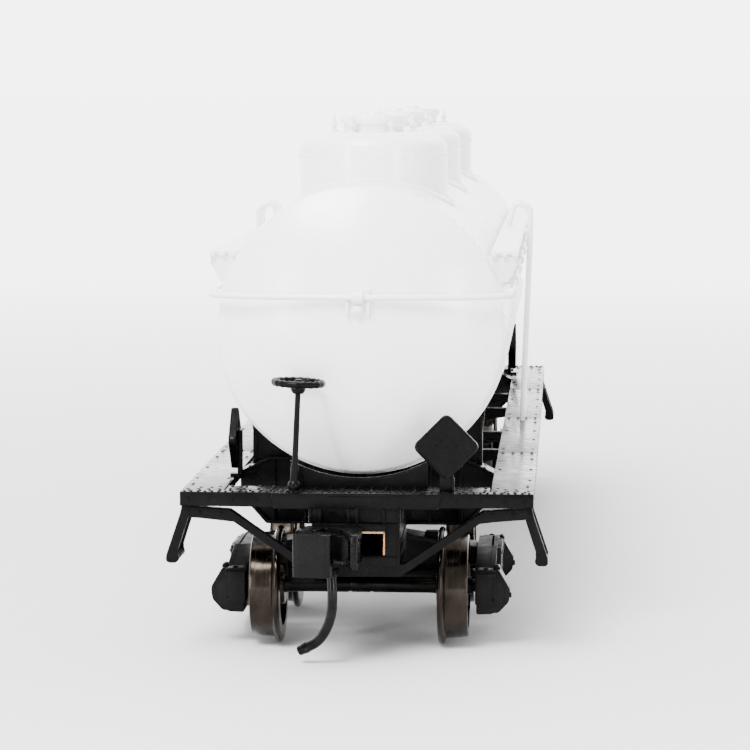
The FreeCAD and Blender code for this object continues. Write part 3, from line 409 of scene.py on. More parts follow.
def round_corners(points, radius, steps=4):
    """The outline with each corner replaced by an arc."""
    made = []
    count = len(points)
    for index, point in enumerate(points):
        here = Vector(point)
        back = (Vector(points[index - 1]) - here)
        ahead = (Vector(points[(index + 1) % count]) - here)
        trim = min(radius, 0.42 * back.length, 0.42 * ahead.length)
        first, last = here + back.normalized() * trim, here + ahead.normalized() * trim
        for step in range(steps + 1):
            t = step / steps
            made.append(tuple(first * (1 - t) ** 2 + here * (2 * t * (1 - t)) + last * t ** 2))
    return made


def smooth_path(points, steps=8, closed=False):
    """A Catmull-Rom line through the points."""
    points = [Vector(point) for point in points]
    count = len(points)
    line = []
    spans = count if closed else count - 1
    for index in range(spans):
        if closed:
            a, b, c, d = (points[(index + shift) % count] for shift in (-1, 0, 1, 2))
        else:
            b, c = points[index], points[index + 1]
            a = points[index - 1] if index else b + (b - c)
            d = points[index + 2] if index + 2 < count else c + (c - b)
        for step in range(steps):
            t = step / steps
            line.append(0.5 * ((2 * b) + (c - a) * t + (2 * a - 5 * b + 4 * c - d) * t ** 2
                               + (3 * b - a - 3 * c + d) * t ** 3))
    if not closed:
        line.append(points[-1])
    return line


def tube(shape, line, radius, sides=12, closed=False):
    """A round rod along a line, with rounded ends. The radius may be a number or one for each point."""
    count = len(line)
    radii = radius if isinstance(radius, (list, tuple)) else [radius] * count
    up = None
    rings = []
    for index, place in enumerate(line):
        if closed:
            ahead = (line[(index + 1) % count] - line[index - 1]).normalized()
        else:
            ahead = (line[min(index + 1, count - 1)] - line[max(index - 1, 0)]).normalized()
        if up is None:
            up = frame_of(ahead)[2]
        up = (up - ahead * up.dot(ahead)).normalized()
        across = ahead.cross(up)
        rings.append(circle(shape, place, across, up, radii[index], sides))
    skin(shape, rings, ring=True, loop=closed)
    if closed:
        return
    for ring, place, beyond in ((rings[0], line[0], line[0] - line[1]),
                                (rings[-1], line[-1], line[-1] - line[-2])):
        tip = shape.verts.new(place + beyond.normalized() * radii[0] * 0.45)
        for side in range(sides):
            shape.faces.new((ring[side], ring[(side + 1) % sides], tip))


def button(shape, place, normal, radius, height, sides=10, rings=3):
    """A rivet or bolt head: a low round dome on a surface."""
    axis, across, up = frame_of(normal)
    place = Vector(place) - axis * height * 0.15
    rows = []
    for row in range(rings):
        angle = math.pi / 2 * row / rings
        centre = place + axis * (height * 1.15 * math.sin(angle))
        rows.append(circle(shape, centre, across, up, radius * math.cos(angle), sides))
    top = shape.verts.new(place + axis * height * 1.15)
    skin(shape, rows, ring=True)
    for side in range(sides):
        shape.faces.new((rows[-1][side], rows[-1][(side + 1) % sides], top))


def hex_nut(shape, place, normal, radius, height):
    """A six-sided nut or bolt head with a slightly domed top."""
    axis, across, up = frame_of(normal)
    place = Vector(place)
    rows = []
    for rise, reach in ((0.0, 1.0), (height * 0.8, 1.0), (height, 0.8)):
        rows.append(circle(shape, place + axis * rise, across, up, radius * reach, 6))
    skin(shape, rows, ring=True)
    shape.faces.new(rows[-1])


def lifted(points):
    """Pairs in millimetres, turned into metres for an outline or a profile."""
    return [(first * MM, second * MM) for first, second in points]


def turn_half(shape):
    """Turns everything in a bmesh half round the vertical."""
    bmesh.ops.rotate(shape, verts=shape.verts, cent=(0, 0, 0), matrix=HALF_TURN)


# ---------------------------------------------------------------- tank

DOMES = ("dome_front", "dome_middle", "dome_rear")
RIVET = 0.19 * MM
RIVET_HEIGHT = 0.09 * MM
RIVET_PITCH = 1.15 * MM
SHEET_RADIUS = TANK_Z - SHEET_LOW.z
SHEET_EDGE = math.asin((TANK_Z - SHEET_HIGH.z) / TANK_RADIUS)


def tank_point(x, angle, radius=TANK_RADIUS):
    """A place on the tank. The angle is measured from +Y towards +Z."""
    return Vector((x, radius * math.cos(angle), TANK_Z + radius * math.sin(angle)))


def outward(angle):
    """The direction away from the tank's middle line at an angle."""
    return Vector((0.0, math.cos(angle), math.sin(angle)))


def rivet_ring(shape, x, first, last, radius):
    """Rivets round the tank at one place along it."""
    count = max(2, round((last - first) * radius / RIVET_PITCH))
    for step in range(count + 1):
        angle = first + (last - first) * step / count
        button(shape, tank_point(x, angle, radius), outward(angle), RIVET, RIVET_HEIGHT, 8, 2)


def rivet_row(shape, low_x, high_x, angle, radius):
    """Rivets along the tank at one angle."""
    count = round((high_x - low_x) / RIVET_PITCH)
    for step in range(count + 1):
        x = low_x + (high_x - low_x) * step / count
        button(shape, tank_point(x, angle, radius), outward(angle), RIVET, RIVET_HEIGHT, 8, 2)


def make_barrel():
    """The barrel with fine lap seams and rivet rings over the compartment walls."""
    shape = bmesh.new()
    low, high = BARREL_LOW.x, BARREL_HIGH.x
    walls = [sign * (box("dome_front")[0].x + box("dome_front")[1].x) / 4 for sign in (-1, 1)]
    profile = [(low, TANK_RADIUS - 0.3 * MM), (low, TANK_RADIUS)]
    for wall in walls:
        for offset, drop in ((-0.05, 0.0), (-0.02, 0.07), (0.02, 0.07), (0.05, 0.0)):
            profile.append((wall + offset * MM, TANK_RADIUS - drop * MM))
    profile += [(high, TANK_RADIUS), (high, TANK_RADIUS - 0.3 * MM)]
    spin(shape, profile, (0, 0, TANK_Z), (1, 0, 0), 160)
    top_first, top_last = -SHEET_EDGE + 0.06, math.pi + SHEET_EDGE - 0.06
    for wall in walls:
        for offset in (-0.75, 0.75):
            rivet_ring(shape, wall + offset * MM, top_first, top_last, TANK_RADIUS)
    for x in (low + 0.7 * MM, high - 0.7 * MM):
        rivet_ring(shape, x, 0.0, 2 * math.pi, TANK_RADIUS)
    finish_piece("barrel_shell", shape, "tank_white", ("tank_barrel",))


def make_bottom_sheet():
    """The thicker sheet round the lower half, with two rivet rows below each edge."""
    shape = bmesh.new()
    low, high = SHEET_LOW.x, SHEET_HIGH.x
    lip = 0.12 * MM
    profile = [(low, TANK_RADIUS - 0.1 * MM), (low, SHEET_RADIUS - lip), (low + lip, SHEET_RADIUS),
               (high - lip, SHEET_RADIUS), (high, SHEET_RADIUS - lip), (high, TANK_RADIUS - 0.1 * MM)]
    steps = 120
    first = math.pi + SHEET_EDGE
    turn = math.pi - 2 * SHEET_EDGE
    rings = []
    for step in range(-1, steps + 2):
        inset = 0.0
        angle = first + turn * min(max(step, 0), steps) / steps
        if step in (-1, steps + 1):
            inset = SHEET_RADIUS - TANK_RADIUS + 0.1 * MM
        rings.append([shape.verts.new(tank_point(x, angle, radius - inset)) for x, radius in profile])
    skin(shape, rings)
    for rows in (0.055, 0.125):
        for angle in (first + rows, first + turn - rows):
            rivet_row(shape, low + 0.8 * MM, high - 0.8 * MM, angle, SHEET_RADIUS)
    finish_piece("bottom_sheet", shape, "tank_white", ("tank_bottom_sheet",))


def head_profile():
    """The dished end in (along, radius), from the rim to the crown."""
    depth = HEAD_HIGH.x - BARREL_HIGH.x - 1.4 * MM
    rim = HEAD_HIGH.x - depth
    knuckle = 0.45 * MM
    dish = (TANK_RADIUS ** 2 + depth ** 2) / (2 * depth)
    start = BARREL_HIGH.x
    points = [(start, TANK_RADIUS - 0.4 * MM), (start + 0.02 * MM, TANK_RADIUS - 0.06 * MM),
              (start + 0.1 * MM, TANK_RADIUS)]
    points += [(rim - knuckle, TANK_RADIUS)]
    points += arc((rim - knuckle, TANK_RADIUS - knuckle), knuckle, 90, 25, 5)[1:]
    edge_along, edge_radius = points[-1]
    edge_sag = dish - math.sqrt(dish ** 2 - edge_radius ** 2)
    for step in range(1, 41):
        radius = edge_radius * (1 - step / 40)
        sag = dish - math.sqrt(dish ** 2 - radius ** 2)
        along = HEAD_HIGH.x - sag * (HEAD_HIGH.x - edge_along) / edge_sag
        points.append((along, max(radius, 0.001 * MM)))
    return points


def make_head(name, end):
    """A dished head with a knuckled rim, a hairline joint and a ring of rivets."""
    shape = bmesh.new()
    spin(shape, head_profile(), (0, 0, TANK_Z), (1, 0, 0), 160)
    x = BARREL_HIGH.x + 0.62 * MM
    rivet_ring(shape, x, 0.0, 2 * math.pi * (1 - RIVET_PITCH / (2 * math.pi * TANK_RADIUS)), TANK_RADIUS)
    if end < 0:
        turn_half(shape)
    finish_piece(name + "_dish", shape, "tank_white", (name,), sharp=40)


def dome_centre(name):
    """The middle of a dome, seen from above."""
    low, high = box(name)
    return (low.x + high.x) / 2, (low.y + high.y) / 2


def make_dome(name):
    """A dome with a rounded shoulder, a saddled foot flange and a ring of rivets round it."""
    low, high = box(name)
    x, y = dome_centre(name)
    radius = (high.y - low.y) / 2
    top = high.z
    shoulder = 1.15 * MM
    shape = bmesh.new()
    profile = [(low.z - 0.5 * MM, radius), (top - 0.45 * MM - shoulder, radius)]
    profile += [(top - 0.45 * MM - shoulder + shoulder * math.sin(math.radians(a)),
                 radius - shoulder + shoulder * math.cos(math.radians(a))) for a in range(15, 76, 15)]
    edge_along, edge_radius = profile[-1]
    flat = radius - 1.75 * MM
    profile += [(edge_along + (top - edge_along) * (1 - t ** 1.6), flat + (edge_radius - flat) * t)
                for t in (0.75, 0.5, 0.25)]
    profile += [(top, flat), (top, 0.001 * MM)]
    spin(shape, profile, (x, y, 0), (0, 0, 1), 112)
    foot_out = radius + 0.75 * MM
    rows = []
    for step in range(112):
        angle = 2 * math.pi * step / 112
        column = []
        for reach, lift in ((radius - 0.1 * MM, 0.42), (radius + 0.10 * MM, 0.26), (foot_out, 0.20),
                            (foot_out + 0.08 * MM, 0.0), (foot_out + 0.08 * MM, -0.3)):
            px, py = x + reach * math.cos(angle), y + reach * math.sin(angle)
            side = math.asin(max(-1.0, min(1.0, py / TANK_RADIUS)))
            height = TANK_Z + TANK_RADIUS * math.cos(side) + math.cos(side) * lift * MM
            column.append(shape.verts.new((px, py + math.sin(side) * lift * MM, height)))
        rows.append(column)
    skin(shape, rows, loop=True)
    for step in range(42):
        angle = 2 * math.pi * (step + 0.5) / 42
        reach = radius + 0.45 * MM
        px, py = x + reach * math.cos(angle), y + reach * math.sin(angle)
        side = math.asin(py / TANK_RADIUS)
        normal = Vector((0.0, math.sin(side), math.cos(side)))
        button(shape, Vector((px, py, TANK_Z + TANK_RADIUS * math.cos(side))) + normal * 0.23 * MM, normal,
               RIVET, RIVET_HEIGHT, 8, 2)
    for step in range(36):
        angle = 2 * math.pi * (step + 0.5) / 36
        normal = Vector((math.cos(angle), math.sin(angle), 0.0))
        button(shape, Vector((x, y, top - 2.25 * MM)) + normal * radius, normal, RIVET, RIVET_HEIGHT, 8, 2)
    finish_piece(name + "_drum", shape, "tank_white", (name,), sharp=40)


def make_lids():
    """Manway lids with a stepped rim, a hinge strap and a raised boss in the middle."""
    low, high = box("manway_lids")
    for name in DOMES:
        x, y = dome_centre(name)
        radius = (high.y - low.y) / 2
        base, top = low.z, high.z - 0.3 * MM
        shape = bmesh.new()
        neck = radius - 0.35 * MM
        profile = [(base - 0.05 * MM, neck), (base + 0.75 * MM, neck), (base + 0.8 * MM, radius - 0.05 * MM),
                   (base + 0.88 * MM, radius), (top - 0.3 * MM, radius)]
        profile += [(top - 0.3 * MM + 0.26 * MM * math.sin(math.radians(a)),
                     radius - 0.3 * MM + 0.3 * MM * math.cos(math.radians(a))) for a in (30, 60, 90)]
        profile += [(top - 0.02 * MM, radius * 0.5), (top, 0.9 * MM), (top + 0.25 * MM, 0.75 * MM),
                    (top + 0.3 * MM, 0.5 * MM), (top + 0.3 * MM, 0.001 * MM)]
        spin(shape, profile, (x, y, 0), (0, 0, 1), 80)
        rounded_box(shape, (x - radius - 0.7 * MM, y - 0.45 * MM, top - 0.55 * MM),
                    (x + 0.2 * MM, y + 0.45 * MM, top + 0.14 * MM), 0.06 * MM)
        piece = finish_piece(name.replace("dome", "lid"), shape, "tank_white")
        if name == DOMES[0]:
            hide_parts("manway_lids")
            REPLACED.add("manway_lids")


def make_lid_bolts():
    """Eye bolts round each lid, each with its nut, and a small safety valve behind the lid."""
    low = box("manway_lid_bolts")[0]
    lid_low, lid_high = box("manway_lids")
    reach = (lid_high.y - lid_low.y) / 2 + 0.55 * MM
    bolts = bmesh.new()
    for name in DOMES:
        x, y = dome_centre(name)
        for step in range(6):
            angle = math.radians(30 + 60 * step)
            place = Vector((x + reach * math.cos(angle), y + reach * math.sin(angle), low.z))
            profile = lifted([(0.0, 0.42), (0.12, 0.42), (0.16, 0.22), (1.15, 0.22)])
            spin(bolts, profile, place, (0, 0, 1), 14)
            hex_nut(bolts, place + Vector((0, 0, 0.55 * MM)), (0, 0, 1), 0.42 * MM, 0.36 * MM)
            eye = [place + Vector((-math.sin(angle) * 0.22 * math.cos(t),
                                   math.cos(angle) * 0.22 * math.cos(t),
                                   0.0)) * MM + Vector((0, 0, 1.34 * MM + 0.22 * MM * math.sin(t)))
                   for t in [2 * math.pi * k / 14 for k in range(14)]]
            tube(bolts, eye, 0.09 * MM, 8, True)
    finish_piece("eye_bolts", bolts, "trim_white", ("manway_lid_bolts",))
    valves = bmesh.new()
    valve_low, valve_high = box("safety_valves")
    middle_x = (valve_low.x + valve_high.x) / 2
    for name in DOMES:
        x, y = dome_centre(name)
        place = (x + middle_x, y, valve_low.z)
        profile = lifted([(0.0, 0.48), (0.14, 0.48), (0.2, 0.3), (0.5, 0.3),
                   (0.55, 0.49), (0.95, 0.49), (1.1, 0.36), (1.18, 0.001)])
        spin(valves, profile, place, (0, 0, 1), 24)
    finish_piece("valves", valves, "trim_white", ("safety_valves",))


def make_handrails():
    """The rail along both sides and round both heads, as one smooth wire."""
    radius = (RAIL_HIGH.z - RAIL_LOW.z) / 2
    height = (RAIL_HIGH.z + RAIL_LOW.z) / 2
    front = RAIL_HIGH.x - radius
    across = RAIL_HIGH.y - radius
    half = [(front - 7.0 * MM, across), (front - 4.2 * MM, across), (front - 3.1 * MM, across * 0.965),
            (front - 2.2 * MM, across * 0.87), (front - 1.25 * MM, across * 0.7),
            (front - 0.45 * MM, across * 0.4),
            (front - 0.06 * MM, across * 0.12)]
    points = [Vector((x, y, height)) for x, y in half]
    points += [Vector((x, -y, height)) for x, y in reversed(half)]
    points += [Vector((x, -across, height)) for x in (front * 0.5, 0.0, -front * 0.5)]
    points += [Vector((-x, -y, height)) for x, y in half]
    points += [Vector((-x, y, height)) for x, y in reversed(half)]
    points += [Vector((x, across, height)) for x in (-front * 0.5, 0.0, front * 0.5)]
    shape = bmesh.new()
    tube(shape, smooth_path(points, 6, True), radius, 12, True)
    finish_piece("handrail_wire", shape, "trim_white", ("handrails",))


make_barrel()
make_bottom_sheet()
make_head("tank_head_front", 1)
make_head("tank_head_rear", -1)
for dome in DOMES:
    make_dome(dome)
make_lids()
make_lid_bolts()
make_handrails()

# ---------------------------------------------------------------- underframe

DECK = BOARD_HIGH.z
HALF = BOARD_HIGH.y
BOARD_IN = BOARD_LOW.y
FRONT = BOARD_HIGH.x + 1.4 * MM
TRUCK_X = sum(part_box("truck_bolster_front")[end][0] for end in (0, 1)) / 2
BOX_LOW, BOX_HIGH = box("coupler_box_front")
LID_LOW = box("coupler_box_lids")[0]


def at(x, y, z):
    """A place given in millimetres."""
    return Vector((x, y, z)) * MM


def copied(shape, kind):
    """Doubles everything in a bmesh and gives the new elements, and those of one kind among them."""
    made = bmesh.ops.duplicate(shape, geom=shape.verts[:] + shape.edges[:] + shape.faces[:])["geom"]
    return made, [item for item in made if isinstance(item, kind)]


def with_twin(shape):
    """Adds a copy of everything, turned half round the vertical."""
    verts = copied(shape, bmesh.types.BMVert)[1]
    bmesh.ops.rotate(shape, verts=verts, cent=(0, 0, 0), matrix=HALF_TURN)


def with_mirror(shape):
    """Adds a mirror image of everything on the other side of the wagon."""
    made, verts = copied(shape, bmesh.types.BMVert)
    bmesh.ops.scale(shape, vec=(1, -1, 1), verts=verts)
    bmesh.ops.reverse_faces(shape, faces=[item for item in made if isinstance(item, bmesh.types.BMFace)])


def both_ends(make, name, slot, nodes):
    """The piece at the +X end and its twin at the other."""
    for end, node in zip(("front", "rear"), nodes):
        shape = bmesh.new()
        make(shape)
        if end == "rear":
            turn_half(shape)
        finish_piece("%s_%s" % (name, end), shape, slot, (node,))


def whole_pieces(rows):
    """Makes one piece on the wagon's body from each row: a function, a name, its CAD node and its slot."""
    for make, name, node, slot in rows:
        shape = bmesh.new()
        make(shape)
        finish_piece(name, shape, slot, (node,))


def bolts(shape, places, normal, radius=0.2 * MM, height=0.1 * MM):
    """The same bolt head at each place."""
    for place in places:
        button(shape, place, normal, radius, height, 8, 2)


def tank_arc(first, last, gap, steps=28):
    """The tank's underside as (y, z) between two places across it, lower by a gap."""
    radius = SHEET_RADIUS + gap
    return [(y, TANK_Z - math.sqrt(radius ** 2 - y ** 2))
            for y in (first + (last - first) * step / steps for step in range(steps + 1))]


def end_sill(shape):
    """The end beam with its raised plate, the ribs over the coupler and rows of rivets on the platform."""
    low = DECK - 1.3 * MM
    prism(shape, [(-HALF, DECK), (-HALF, low), (-4.3 * MM, low), (-4.3 * MM, low - 1.4 * MM),
                  (4.2 * MM, low - 1.4 * MM), (4.2 * MM, low), (HALF, low), (HALF, DECK)],
          "X", FRONT - 1.4 * MM, FRONT, 0.07 * MM)
    prism(shape, [(-7.7 * MM, DECK - 0.02 * MM), (-7.4 * MM, low - 0.14 * MM), (7.4 * MM, low - 0.14 * MM),
                  (7.7 * MM, DECK - 0.02 * MM)], "X", FRONT - 0.1 * MM, FRONT + 0.3 * MM, 0.08 * MM)
    rounded_box(shape, (FRONT - 0.2 * MM, -2.6 * MM, DECK - 0.3 * MM), (FRONT + 0.37 * MM, 3.4 * MM, DECK),
                0.06 * MM)
    for left, right in ((-4.25, -3.1), (-0.8, 0.2), (2.4, 4.05)):
        rounded_box(shape, at(0, left, 12.25) + Vector((FRONT - 0.1 * MM, 0, 0)),
                    at(0, right, 13.62) + Vector((FRONT + 0.22 * MM, 0, 0)), 0.05 * MM)
        for side in (left, right - 0.26):
            rounded_box(shape, at(0, side, 12.2) + Vector((FRONT, 0, 0)),
                        at(0, side + 0.26, 13.55) + Vector((FRONT + 0.46 * MM, 0, 0)), 0.05 * MM)
    rounded_box(shape, (FRONT - 4.4 * MM, -BOARD_IN + 0.1 * MM, DECK - 0.8 * MM),
                (FRONT - 1.35 * MM, BOARD_IN - 0.1 * MM, DECK), 0.06 * MM)
    for x, pitch, reach in ((-0.3, 0.62, 15.6), (-0.95, 0.9, 15.2), (-2.0, 1.25, 11.6), (-3.9, 1.25, 11.6)):
        count = int(2 * reach / pitch)
        bolts(shape, [Vector((FRONT + x * MM, (-reach + 2 * reach * step / count) * MM, DECK))
                      for step in range(count + 1) if abs(-reach + 2 * reach * step / count + 5.7) > 0.8],
              (0, 0, 1), 0.17 * MM, 0.13 * MM)
    for y in (-15.2, -13.4, -11.2, -9.1, 9.1, 11.2, 13.4, 15.2):
        bolts(shape, [Vector((FRONT, y * MM, DECK - 0.65 * MM))], (1, 0, 0), 0.16 * MM, 0.08 * MM)


def tank_cradle(shape):
    """The upright plate before the tank's end, with a lip that follows the tank."""
    x = FRONT - 3.85 * MM
    for low, high, gap, drop in ((x - 0.4 * MM, x, -0.18, 0.0), (x - 0.06 * MM, x + 0.1 * MM, -0.14, 0.24)):
        top = tank_arc(-6.3 * MM, 6.3 * MM, gap * MM)
        base = DECK - 0.05 * MM
        points = [(-6.3 * MM, base)] + top + [(6.3 * MM, base)]
        if drop:
            points = top + [(y, z - drop * MM) for y, z in reversed(top)]
        prism(shape, points, "X", low, high, 0.04 * MM, 1)


def running_board(shape):
    """A long board in four lengths with hairline seams, rivets beside them and a lip along its edge."""
    low, high = BOARD_LOW.x, BOARD_HIGH.x
    seams = [low, low * 0.52, 0.0, high * 0.52, high]
    for first, last in zip(seams, seams[1:]):
        rounded_box(shape, (first + 0.03 * MM, BOARD_IN, DECK - 0.8 * MM),
                    (last - 0.03 * MM, HALF, DECK), 0.06 * MM)
    rounded_box(shape, (low, HALF - 0.9 * MM, BOARD_LOW.z), (high, HALF - 0.02 * MM, DECK - 0.1 * MM),
                0.07 * MM)
    places = []
    for seam in seams:
        for offset in (-0.6, 0.6):
            x = seam + offset * MM
            if low < x < high:
                places += [(x, y) for y in (BOARD_IN + 0.5 * MM, BOARD_IN + 1.5 * MM, HALF - 1.5 * MM,
                                            HALF - 0.5 * MM)]
    count = int((high - low) / (7.8 * MM))
    for step in range(1, count):
        x = low + (high - low) * step / count
        places += [(x, HALF - 0.45 * MM)]
        if step % 2:
            places += [(x, BOARD_IN + 0.5 * MM)]
    for end in (low, high):
        inward = 1 if end == low else -1
        places += [(end + inward * along * MM, HALF - across * MM)
                   for along, across in ((1.6, 1.6), (1.6, 2.6), (3.2, 0.6), (4.2, 0.6), (2.4, 3.3))]
    bolts(shape, [Vector((x, y, DECK)) for x, y in places], (0, 0, 1), 0.19 * MM, 0.11 * MM)
    for step in range(42):
        x = low + (high - low) * (step + 0.5) / 42
        bolts(shape, [Vector((x, HALF - 0.02 * MM, DECK - 0.7 * MM))], (0, 1, 0), 0.17 * MM, 0.09 * MM)


def body_bolster(shape):
    """The tapered cross beam over a truck: webs, a flange along its top edge and stiffening ribs."""
    reach = BOARD_IN / MM
    contact = math.sqrt(SHEET_RADIUS ** 2 - (TANK_Z - 16.3 * MM) ** 2)
    top = tank_arc(-contact, contact, 0.01 * MM)
    points = lifted([(-reach, 12.7), (-9.6, 9.9), (9.6, 9.9), (reach, 12.7), (reach, 14.85), (9.2, 16.25)])
    prism(shape, points + list(reversed(top)) + lifted([(-9.2, 16.25), (-reach, 14.85)]), "X",
          TRUCK_X - 1.1 * MM, TRUCK_X + 1.1 * MM, 0.05 * MM)
    spin(shape, [(truck * MM, radius * MM) for truck, radius in
                 ((9.75, 0.1), (9.75, 2.7), (9.85, 2.8), (11.4, 2.8), (11.5, 2.7))], (TRUCK_X, 0, 0),
         (0, 0, 1), 48)
    for side in (-1, 1):
        flange = lifted([(side * reach, 14.7), (side * 9.2, 16.1), (side * 5.0, 16.1), (side * 5.0, 16.3),
                         (side * 9.25, 16.3), (side * reach, 14.9)])
        prism(shape, flange, "X", TRUCK_X - 1.6 * MM, TRUCK_X + 1.6 * MM, 0.05 * MM, 1)
        under = lifted([(side * reach, 12.7), (side * 9.6, 9.9), (side * 3.0, 9.9), (side * 3.0, 10.12),
                        (side * 9.5, 10.12), (side * reach, 12.92)])
        prism(shape, under, "X", TRUCK_X - 1.6 * MM, TRUCK_X + 1.6 * MM, 0.05 * MM, 1)
        for across, low, high in ((6.0, 10.1, 16.15), (8.9, 10.1, 16.1)):
            rounded_box(shape, at(0, side * across - 0.18, low) + Vector((TRUCK_X - 1.5 * MM, 0, 0)),
                        at(0, side * across + 0.18, high) + Vector((TRUCK_X + 1.5 * MM, 0, 0)), 0.05 * MM)
        for across in (10.2, 11.2):
            rise = 16.3 + (across - 9.25) * (14.9 - 16.3) / (reach - 9.25)
            bolts(shape,
                  [at(0, side * across, rise) + Vector((TRUCK_X + x * MM, 0, 0)) for x in (-1.2, 1.2)],
                  (0, side * 0.44, 0.9))
    with_twin(shape)


def saddle(shape):
    """The upright plate that follows the tank's underside, with a rim and an outer gusset."""
    arc_points = tank_arc(-10.83 * MM, 10.83 * MM, 0.01 * MM, 44)
    outer = lifted([(11.2, 21.0), (10.6, 14.95), (-10.6, 14.95), (-11.2, 21.0)])
    prism(shape, arc_points + outer, "X", TRUCK_X - 0.4 * MM, TRUCK_X + 0.4 * MM, 0.03 * MM, 1)
    rim = tank_arc(-10.9 * MM, 10.9 * MM, 0.01 * MM, 44) + tank_arc(10.95 * MM, -10.95 * MM, 0.3 * MM, 44)
    prism(shape, rim, "X", TRUCK_X - 0.6 * MM, TRUCK_X + 0.6 * MM, 0.04 * MM, 1)
    for side in (-1, 1):
        rounded_box(shape, at(0, side * 10.75 - 0.2, 14.95) + Vector((TRUCK_X - 0.6 * MM, 0, 0)),
                    at(0, side * 10.75 + 0.2, 20.2) + Vector((TRUCK_X + 0.6 * MM, 0, 0)), 0.06 * MM)
    with_twin(shape)


def end_brace(shape):
    """The flat bar that dips from the corners of the end sill to pass under the coupler box."""
    top = [(15.25, 13.55), (11.4, 13.3), (4.4, 8.25)]
    low = [(4.05, 7.2), (11.1, 12.25), (15.25, 12.5)]
    outline = lifted(top + [(-y, z) for y, z in reversed(top)] + [(-y, z) for y, z in reversed(low)] + low)
    x = FRONT - 1.2 * MM
    prism(shape, outline, "X", x, x + 0.86 * MM, 0.12 * MM, 3)
    for side in (-1, 1):
        bolts(shape, [Vector((x + 0.86 * MM, side * y * MM, 12.95 * MM)) for y in (12.3, 14.2)], (1, 0, 0),
              0.22 * MM, 0.14 * MM)
    with_twin(shape)


def corner_step(shape):
    """A stirrup step: two flat straps that flare outwards and widen into a rounded tread."""
    strap = [(-0.95, 13.7), (-0.15, 13.7), (-0.02, 12.95), (1.33, 8.95), (1.3, 8.45), (1.0, 8.32),
             (0.35, 8.35),
             (0.1, 8.7), (0.3, 9.3), (-0.82, 12.8)]
    for x in (-0.55, -4.65):
        outline = round_corners([(HALF + y * MM, z * MM) for y, z in strap], 0.22 * MM, 3)
        prism(shape, outline, "X", FRONT + (x - 0.27) * MM, FRONT + (x + 0.27) * MM, 0.09 * MM, 2)
    tread = round_corners([(HALF + y * MM, z * MM) for y,
                           z in ((0.12, 8.75), (0.35, 8.36), (1.0, 8.34), (1.28, 8.5),
                                                               (1.28, 8.9), (0.4, 9.2))], 0.25 * MM, 3)
    prism(shape, tread, "X", FRONT - 4.8 * MM, FRONT - 0.4 * MM, 0.06 * MM, 2)


def corner_steps(shape):
    """All four corner steps."""
    corner_step(shape)
    with_mirror(shape)
    with_twin(shape)


def coupler_box(shape):
    """The draft gear box: a roof and two walls with a flanged mouth and rivets along its sides."""
    low, high = BOX_LOW, BOX_HIGH
    mouth = 2.65 * MM
    for side in (-1, 1):
        inner, outer = side * mouth, side * high.y
        rounded_box(shape, (low.x, min(inner, outer), low.z + 0.01 * MM),
                    (high.x, max(inner, outer), high.z),
                    0.08 * MM)
        edge = side * (high.y - 0.28 * MM)
        rounded_box(shape, (high.x - 0.5 * MM, min(edge, outer), low.z - 0.85 * MM), (high.x + 0.1 * MM,
                    max(edge, outer), high.z), 0.06 * MM)
        bolts(shape,
              [Vector((low.x + (1.2 + 2.1 * step) * MM, outer, (low.z + high.z) / 2)) for step in range(5)],
              (0, side, 0), 0.2 * MM, 0.1 * MM)
    inset = 0.05 * MM
    side = high.y - inset
    rounded_box(shape, (low.x + inset, -side, high.z - 0.74 * MM), (high.x - inset, side, high.z - inset),
                0.08 * MM)
    rounded_box(shape, (low.x + inset, -side, low.z + inset), (low.x + 0.9 * MM, side, high.z - 2 * inset),
                0.08 * MM)


def box_lid(shape):
    """The plate that closes a coupler box from below, with the post inside."""
    rounded_box(shape, (BOX_LOW.x, -BOX_HIGH.y, LID_LOW.z), (BOX_HIGH.x, BOX_HIGH.y, BOX_LOW.z), 0.09 * MM)
    spin(shape, lifted([(0.0, 1.1), (3.0, 1.1), (3.1, 1.0), (3.1, 0.7)]),
         (BOX_LOW.x + 3.4 * MM, 0, LID_LOW.z), (0, 0, 1), 32)
    bolts(shape, [Vector((BOX_HIGH.x - 0.8 * MM, side * 3.3 * MM, LID_LOW.z)) for side in (-1, 1)],
          (0, 0, -1),
          0.3 * MM, 0.15 * MM)
    with_twin(shape)


def centring_spring(shape):
    """A thin bronze strip under the roof of the box and down one side of the mouth."""
    top = BOX_HIGH.z - 0.75 * MM
    for low, high in (((-2.62, -0.2), (2.62, 0.0)), ((2.45, -2.15), (2.63, -0.02))):
        rounded_box(shape, (BOX_HIGH.x - 5.0 * MM, low[0] * MM, top + low[1] * MM),
                    (BOX_HIGH.x - 0.05 * MM, high[0] * MM, top + high[1] * MM), 0.04 * MM)
    rounded_box(shape, (BOX_HIGH.x - 5.0 * MM, -2.63 * MM, top - 2.15 * MM),
                (BOX_HIGH.x - 0.4 * MM, -2.5 * MM, top), 0.03 * MM)
    with_twin(shape)


both_ends(end_sill, "end_beam", "frame_black", ("end_sill_front", "end_sill_rear"))
for side, label in ((1, "right"), (-1, "left")):
    board = bmesh.new()
    running_board(board)
    if side < 0:
        turn_half(board)
    finish_piece("board_" + label, board, "board_black", ("running_board_" + label,))
whole_pieces((
    (body_bolster, "bolster_castings", "body_bolsters", "frame_black"),
    (saddle, "saddle_plates", "tank_saddles", "frame_black"),
    (end_brace, "brace_bars", "end_braces", "frame_black"),
    (corner_steps, "stirrup_steps", "corner_steps", "frame_black"),
    (box_lid, "box_covers", "coupler_box_lids", "frame_black"),
    (centring_spring, "spring_strips", "centring_springs", "spring_bronze"),
))
both_ends(coupler_box, "draft_box", "frame_black", ("coupler_box_front", "coupler_box_rear"))
cradles = bmesh.new()
tank_cradle(cradles)
with_twin(cradles)
finish_piece("cradle_plates", cradles, "frame_black")

# ---------------------------------------------------------------- brake stand, placards and side fittings

